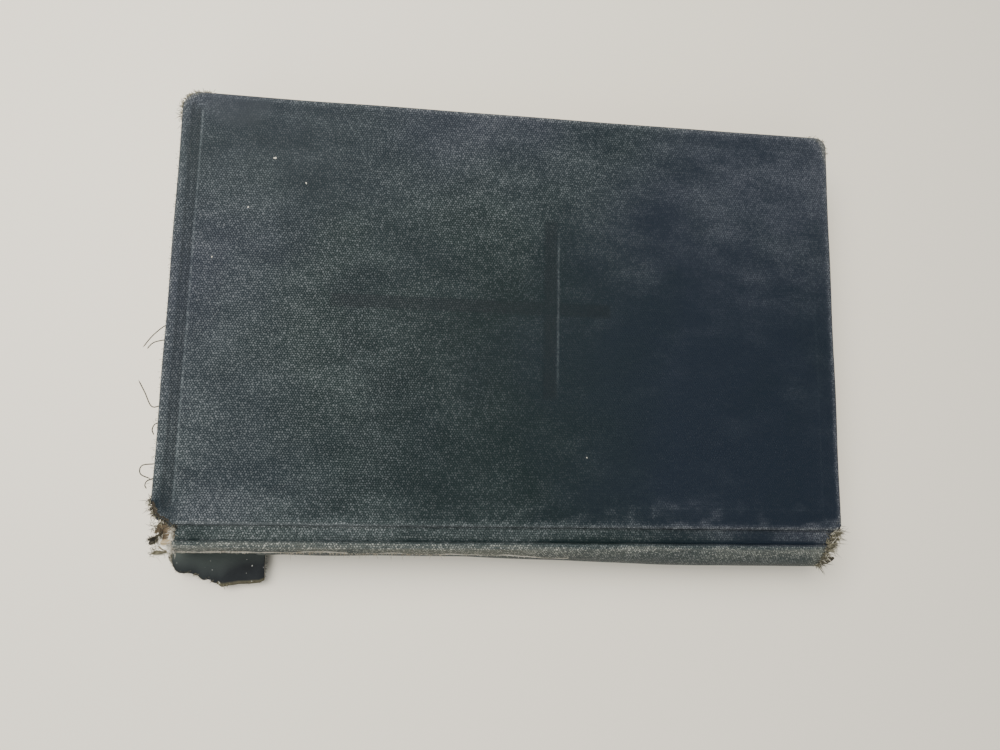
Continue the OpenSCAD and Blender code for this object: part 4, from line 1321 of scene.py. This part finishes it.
# %% Fuzz of the cover's edges
line_fuzz("tail_edge_fuzz", [(-94.8, -50, 23), (-94.8, 0, 22.8), (-94.8, 54, 23)], 300, 61,
          (-1, 0, 0.1), 0.5, (0.15, 0.65), (0.04, 0.08), frayed_finish, "front_cover")
tail_corner = [(-94.9, 53.5, 23.2), (-94.0, 57.2, 23.4), (-91.5, 59.0, 23.4), (-87.0, 59.3, 23.3)]
line_fuzz("tail_corner_fuzz", tail_corner, 260, 62, (-1, 0.5, 0.1), 0.6, (0.2, 0.9), (0.05, 0.10),
          frayed_finish, "front_cover")
line_fuzz("tail_corner_threads", [(-95.0, 50.5, 22.8), (-94.6, 55.5, 23.0)], 34, 63,
          (-1, -0.1, 0), 0.4, (0.6, 1.8), (0.05, 0.09), frayed_finish, "front_cover")
line_fuzz("head_corner_fuzz", [(94.9, 54.0, 23.2), (94.0, 58.2, 23.3), (88.0, 59.2, 23.3)], 150, 64,
          (1, 0.6, 0.1), 0.6, (0.2, 0.8), (0.04, 0.08), frayed_finish, "front_cover")
broken_line = [(-94.9, -52.5, 23.2), (-94.2, -56.0, 23.2), (-91.6, -58.2, 23.1), (-88.6, -59.4, 22.9)]
line_fuzz("broken_corner_fuzz", broken_line, 300, 65, (-0.7, -0.7, 0.05), 0.6, (0.2, 1.0), (0.04, 0.09),
          thread_finish, "front_cover", curl=0.85)
line_fuzz("broken_corner_pulp", broken_line, 240, 66, (-0.6, -0.8, -0.1), 0.6, (0.2, 0.9), (0.05, 0.11),
          frayed_finish, "front_cover", jitter=0.45, curl=0.85)

# %% Fringes of the spine's two ends
joint_tail = [(-88.9, -59.6, 22.0), (-89.2, -62.0, 21.8), (-88.7, -65.0, 23.4), (-88.9, -66.4, 22.2)]
line_fuzz("spine_tail_fuzz", joint_tail, 200, 67, (-1, 0, 0), 0.5, (0.3, 1.2), (0.04, 0.09),
          torn_finish, "text_block", curl=0.85)
joint_head = [(93.8, -59.3, 22.8), (93.2, -60.6, 21.8), (92.4, -62.2, 21.8), (91.2, -63.5, 22.7),
              (89.4, -65.3, 23.5), (89.8, -68.0, 19.5), (91.5, -69.8, 15.5)]
line_fuzz("spine_head_fringe", joint_head, 620, 68, (0.85, -0.15, 0.1), 0.35, (0.4, 1.6), (0.07, 0.15),
          frayed_finish, "text_block", jitter=0.45, curl=0.85)
line_fuzz("spine_head_pale_fringe", joint_head, 130, 77, (0.85, -0.2, 0.25), 0.4, (0.5, 1.8), (0.06, 0.12),
          torn_finish, "text_block", jitter=0.4, curl=0.85)
line_fuzz("spine_head_threads", joint_head, 360, 69, (0.9, -0.1, 0.2), 0.5, (0.4, 1.6), (0.05, 0.10),
          thread_finish, "text_block", jitter=0.4, curl=0.85)

# %% [markdown]
# The long tear and the flap's free edge have a fringe of their own. Its fibres start on the torn
# edge itself, so they are placed from the same section as the cloth. Those of the flap stay high
# enough for the opened back cover to pass under them.

# %% Fringe of the tear and of the flap
FLAP_FLOOR = 3.4       # no fibre of the flap goes below this height


def on_tear(count, low, high, seed):
    """Random places along the lower lip of the long tear."""
    rng = np.random.default_rng(seed)
    at = rng.uniform(low, high, count)
    y, z = arc_place(at, angle_at(at, tear_z(at)), 0.1)
    return np.stack([at, y, z], -1) + rng.normal(0, 0.06, (count, 3))


fuzz("tear_fringe", on_tear(420, -88, 15, 71), (0.1, -0.9, -0.6), 0.4, (0.12, 0.5), (0.03, 0.06),
     torn_finish, "text_block", 71)
fuzz("flap_root_fringe", on_tear(300, -88, -69.5, 79), (0.1, -0.9, 0.1), 0.4, (0.15, 0.5), (0.04, 0.08),
     torn_finish, "text_block", 79)
fuzz("tear_fringe_long", on_tear(150, -62, -18, 72), (0.1, -0.9, -0.4), 0.5, (0.5, 1.5), (0.03, 0.06),
     tan_finish, "text_block", 72)
rng = np.random.default_rng(73)
free = spine_outer[2:FLAP_COLS - 1, SLIT + 2]
picked = free[rng.integers(0, len(free), 420)] + rng.normal(0, 0.15, (420, 3)) + np.array([0, 0.2, 0])
out_way = np.where(picked[:, :1] < -81, np.array([[-0.5, -0.9, 0.1]]), np.array([[0.0, -1.0, 0.1]]))
fuzz("flap_edge_fuzz", picked[:300], out_way[:300], 0.5, (0.12, 0.45), (0.05, 0.11),
     thread_finish, "text_block", 74, curl=0.9, floor=FLAP_FLOOR)
RAGGED_COLS = 34                   # the part of the free edge that is frayed most, at the tail
tufts = free[rng.integers(0, RAGGED_COLS, 200)] + rng.normal(0, 0.22, (200, 3)) + np.array([0, 0.25, 0])
fuzz("flap_edge_tufts", tufts, (-0.4, -0.9, 0.2), 0.6, (0.2, 0.6), (0.08, 0.16),
     frayed_finish, "text_block", 78, curl=0.9, floor=FLAP_FLOOR)
fuzz("flap_edge_tan_fuzz", picked[300:], out_way[300:], 0.5, (0.12, 0.4), (0.04, 0.09),
     frayed_finish, "text_block", 75, curl=0.9, floor=FLAP_FLOOR)
side_edge = spine_outer[FLAP_COLS, SLIT + 2:ROOT - 6]
fuzz("flap_side_fuzz", side_edge[rng.integers(0, len(side_edge), 120)], (1, 0, 0.1), 0.5, (0.15, 0.55),
     (0.025, 0.05), thread_finish, "text_block", 76)

# %% [markdown]
# ## Shreds and flecks
# At the broken corner shreds of paper, cloth and glue still hang on. Each is a small round grid
# whose outline is roughened and whose face is curled. The pale flecks on the cover are the same
# shape, flat and tiny.

# %% Shreds
def shred(name, centre, size, tilt, look, body, seed, thick=0.25):
    """A disc drawn from a square grid. Its radius runs unevenly round, its face is bent by a
    ripple, and it is turned about X, Y and Z by its tilt and laid at its centre."""
    u = np.linspace(-1, 1, 13)
    a, b = np.meshgrid(u, u, indexing="ij")
    phi = np.arctan2(b, a)
    r = np.maximum(np.abs(a), np.abs(b)) * (1 + 0.35 * ripple(np.cos(phi) * 3, np.sin(phi) * 3, seed, 3.0))
    x, y = r * np.cos(phi) * size[0], r * np.sin(phi) * size[1]
    z = size[2] * ripple(a * 2, b * 2, seed + 1, 4.0)
    about_x, about_y, about_z = (Matrix.Rotation(angle, 3, axis) for angle, axis in zip(tilt, "XYZ"))
    turn = about_x @ about_y @ about_z
    face = np.stack([x, y, z], -1) @ np.array(turn).T + np.array(centre)
    under = face - np.array(turn.col[2]) * thick
    piece = sheet_piece(name, face, under, np.ones((12, 12), bool), [look, look, look], np.stack([x, y], -1))
    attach(piece, body)


shred("white_paper_corner", (-89.8, -64.4, 21.3), (1.5, 2.0, 0.3), (0.1, -0.15, 0.3), scrap_finish,
      "text_block", 81)
shred("brown_paper_shred", (-92.3, -60.8, 20.9), (2.0, 1.6, 0.35), (0.1, 0.2, 0.5), glue_paper_finish,
      "text_block", 82)
shred("pale_paper_shred", (-91.2, -63.6, 20.7), (2.2, 1.9, 0.3), (-0.2, 0.1, 0.0), scrap_finish,
      "text_block", 83)
shred("dark_cloth_clump", (-94.2, -63.7, 19.0), (1.9, 1.0, 0.5), (0.3, 0.5, 0.2), thread_finish,
      "text_block", 84, thick=0.6)
shred("lower_paper_shred", (-92.6, -67.0, 19.9), (2.6, 0.5, 0.3), (0.2, 0.1, 0.05), frayed_finish,
      "text_block", 85)

# %% Fuzz of the shreds
line_fuzz("clump_fuzz", [(-96.0, -63.8, 18.8), (-94.0, -63.2, 19.2), (-92.6, -64.3, 19.2)], 150, 86,
          (-0.4, 0, 0.1), 0.9, (0.2, 0.9), (0.04, 0.09), thread_finish, "text_block", jitter=0.4, curl=0.9)
line_fuzz("corner_dark_threads", [(-94.6, -59.0, 21.4), (-92.0, -61.5, 21.6), (-93.4, -64.0, 21.2)], 70, 88,
          (-0.5, -0.2, 0.3), 0.9, (0.3, 1.1), (0.04, 0.09), thread_finish, "text_block", jitter=0.5, curl=0.9)
shred_line = [(-94.6, -59.6, 20.9), (-92.0, -62.4, 21.0), (-95.0, -67.0, 19.9), (-90.0, -66.8, 20.2)]
line_fuzz("shred_fuzz", shred_line, 300, 87, (-0.3, 0, 0.1), 0.9, (0.2, 0.9), (0.04, 0.08),
          frayed_finish, "text_block", jitter=0.5, curl=0.9)

# %% Flecks
flecks = ((-69.0, 41.2, 0.42), (-75.4, 26.6, 0.24), (-60.2, 34.5, 0.26), (-45.3, -28.0, 0.3),
          (-84.0, 12.0, 0.2), (20.0, -40.0, 0.2))
for k, (x, y, size) in enumerate(flecks):
    shred("pale_fleck_%d" % k, (x, y, TOP), (size, size * 0.6, 0.02), (0, 0, k * 1.0), scrap_finish,
          "front_cover", 90 + k, thick=0.12)
print("flecks added:", len(flecks))
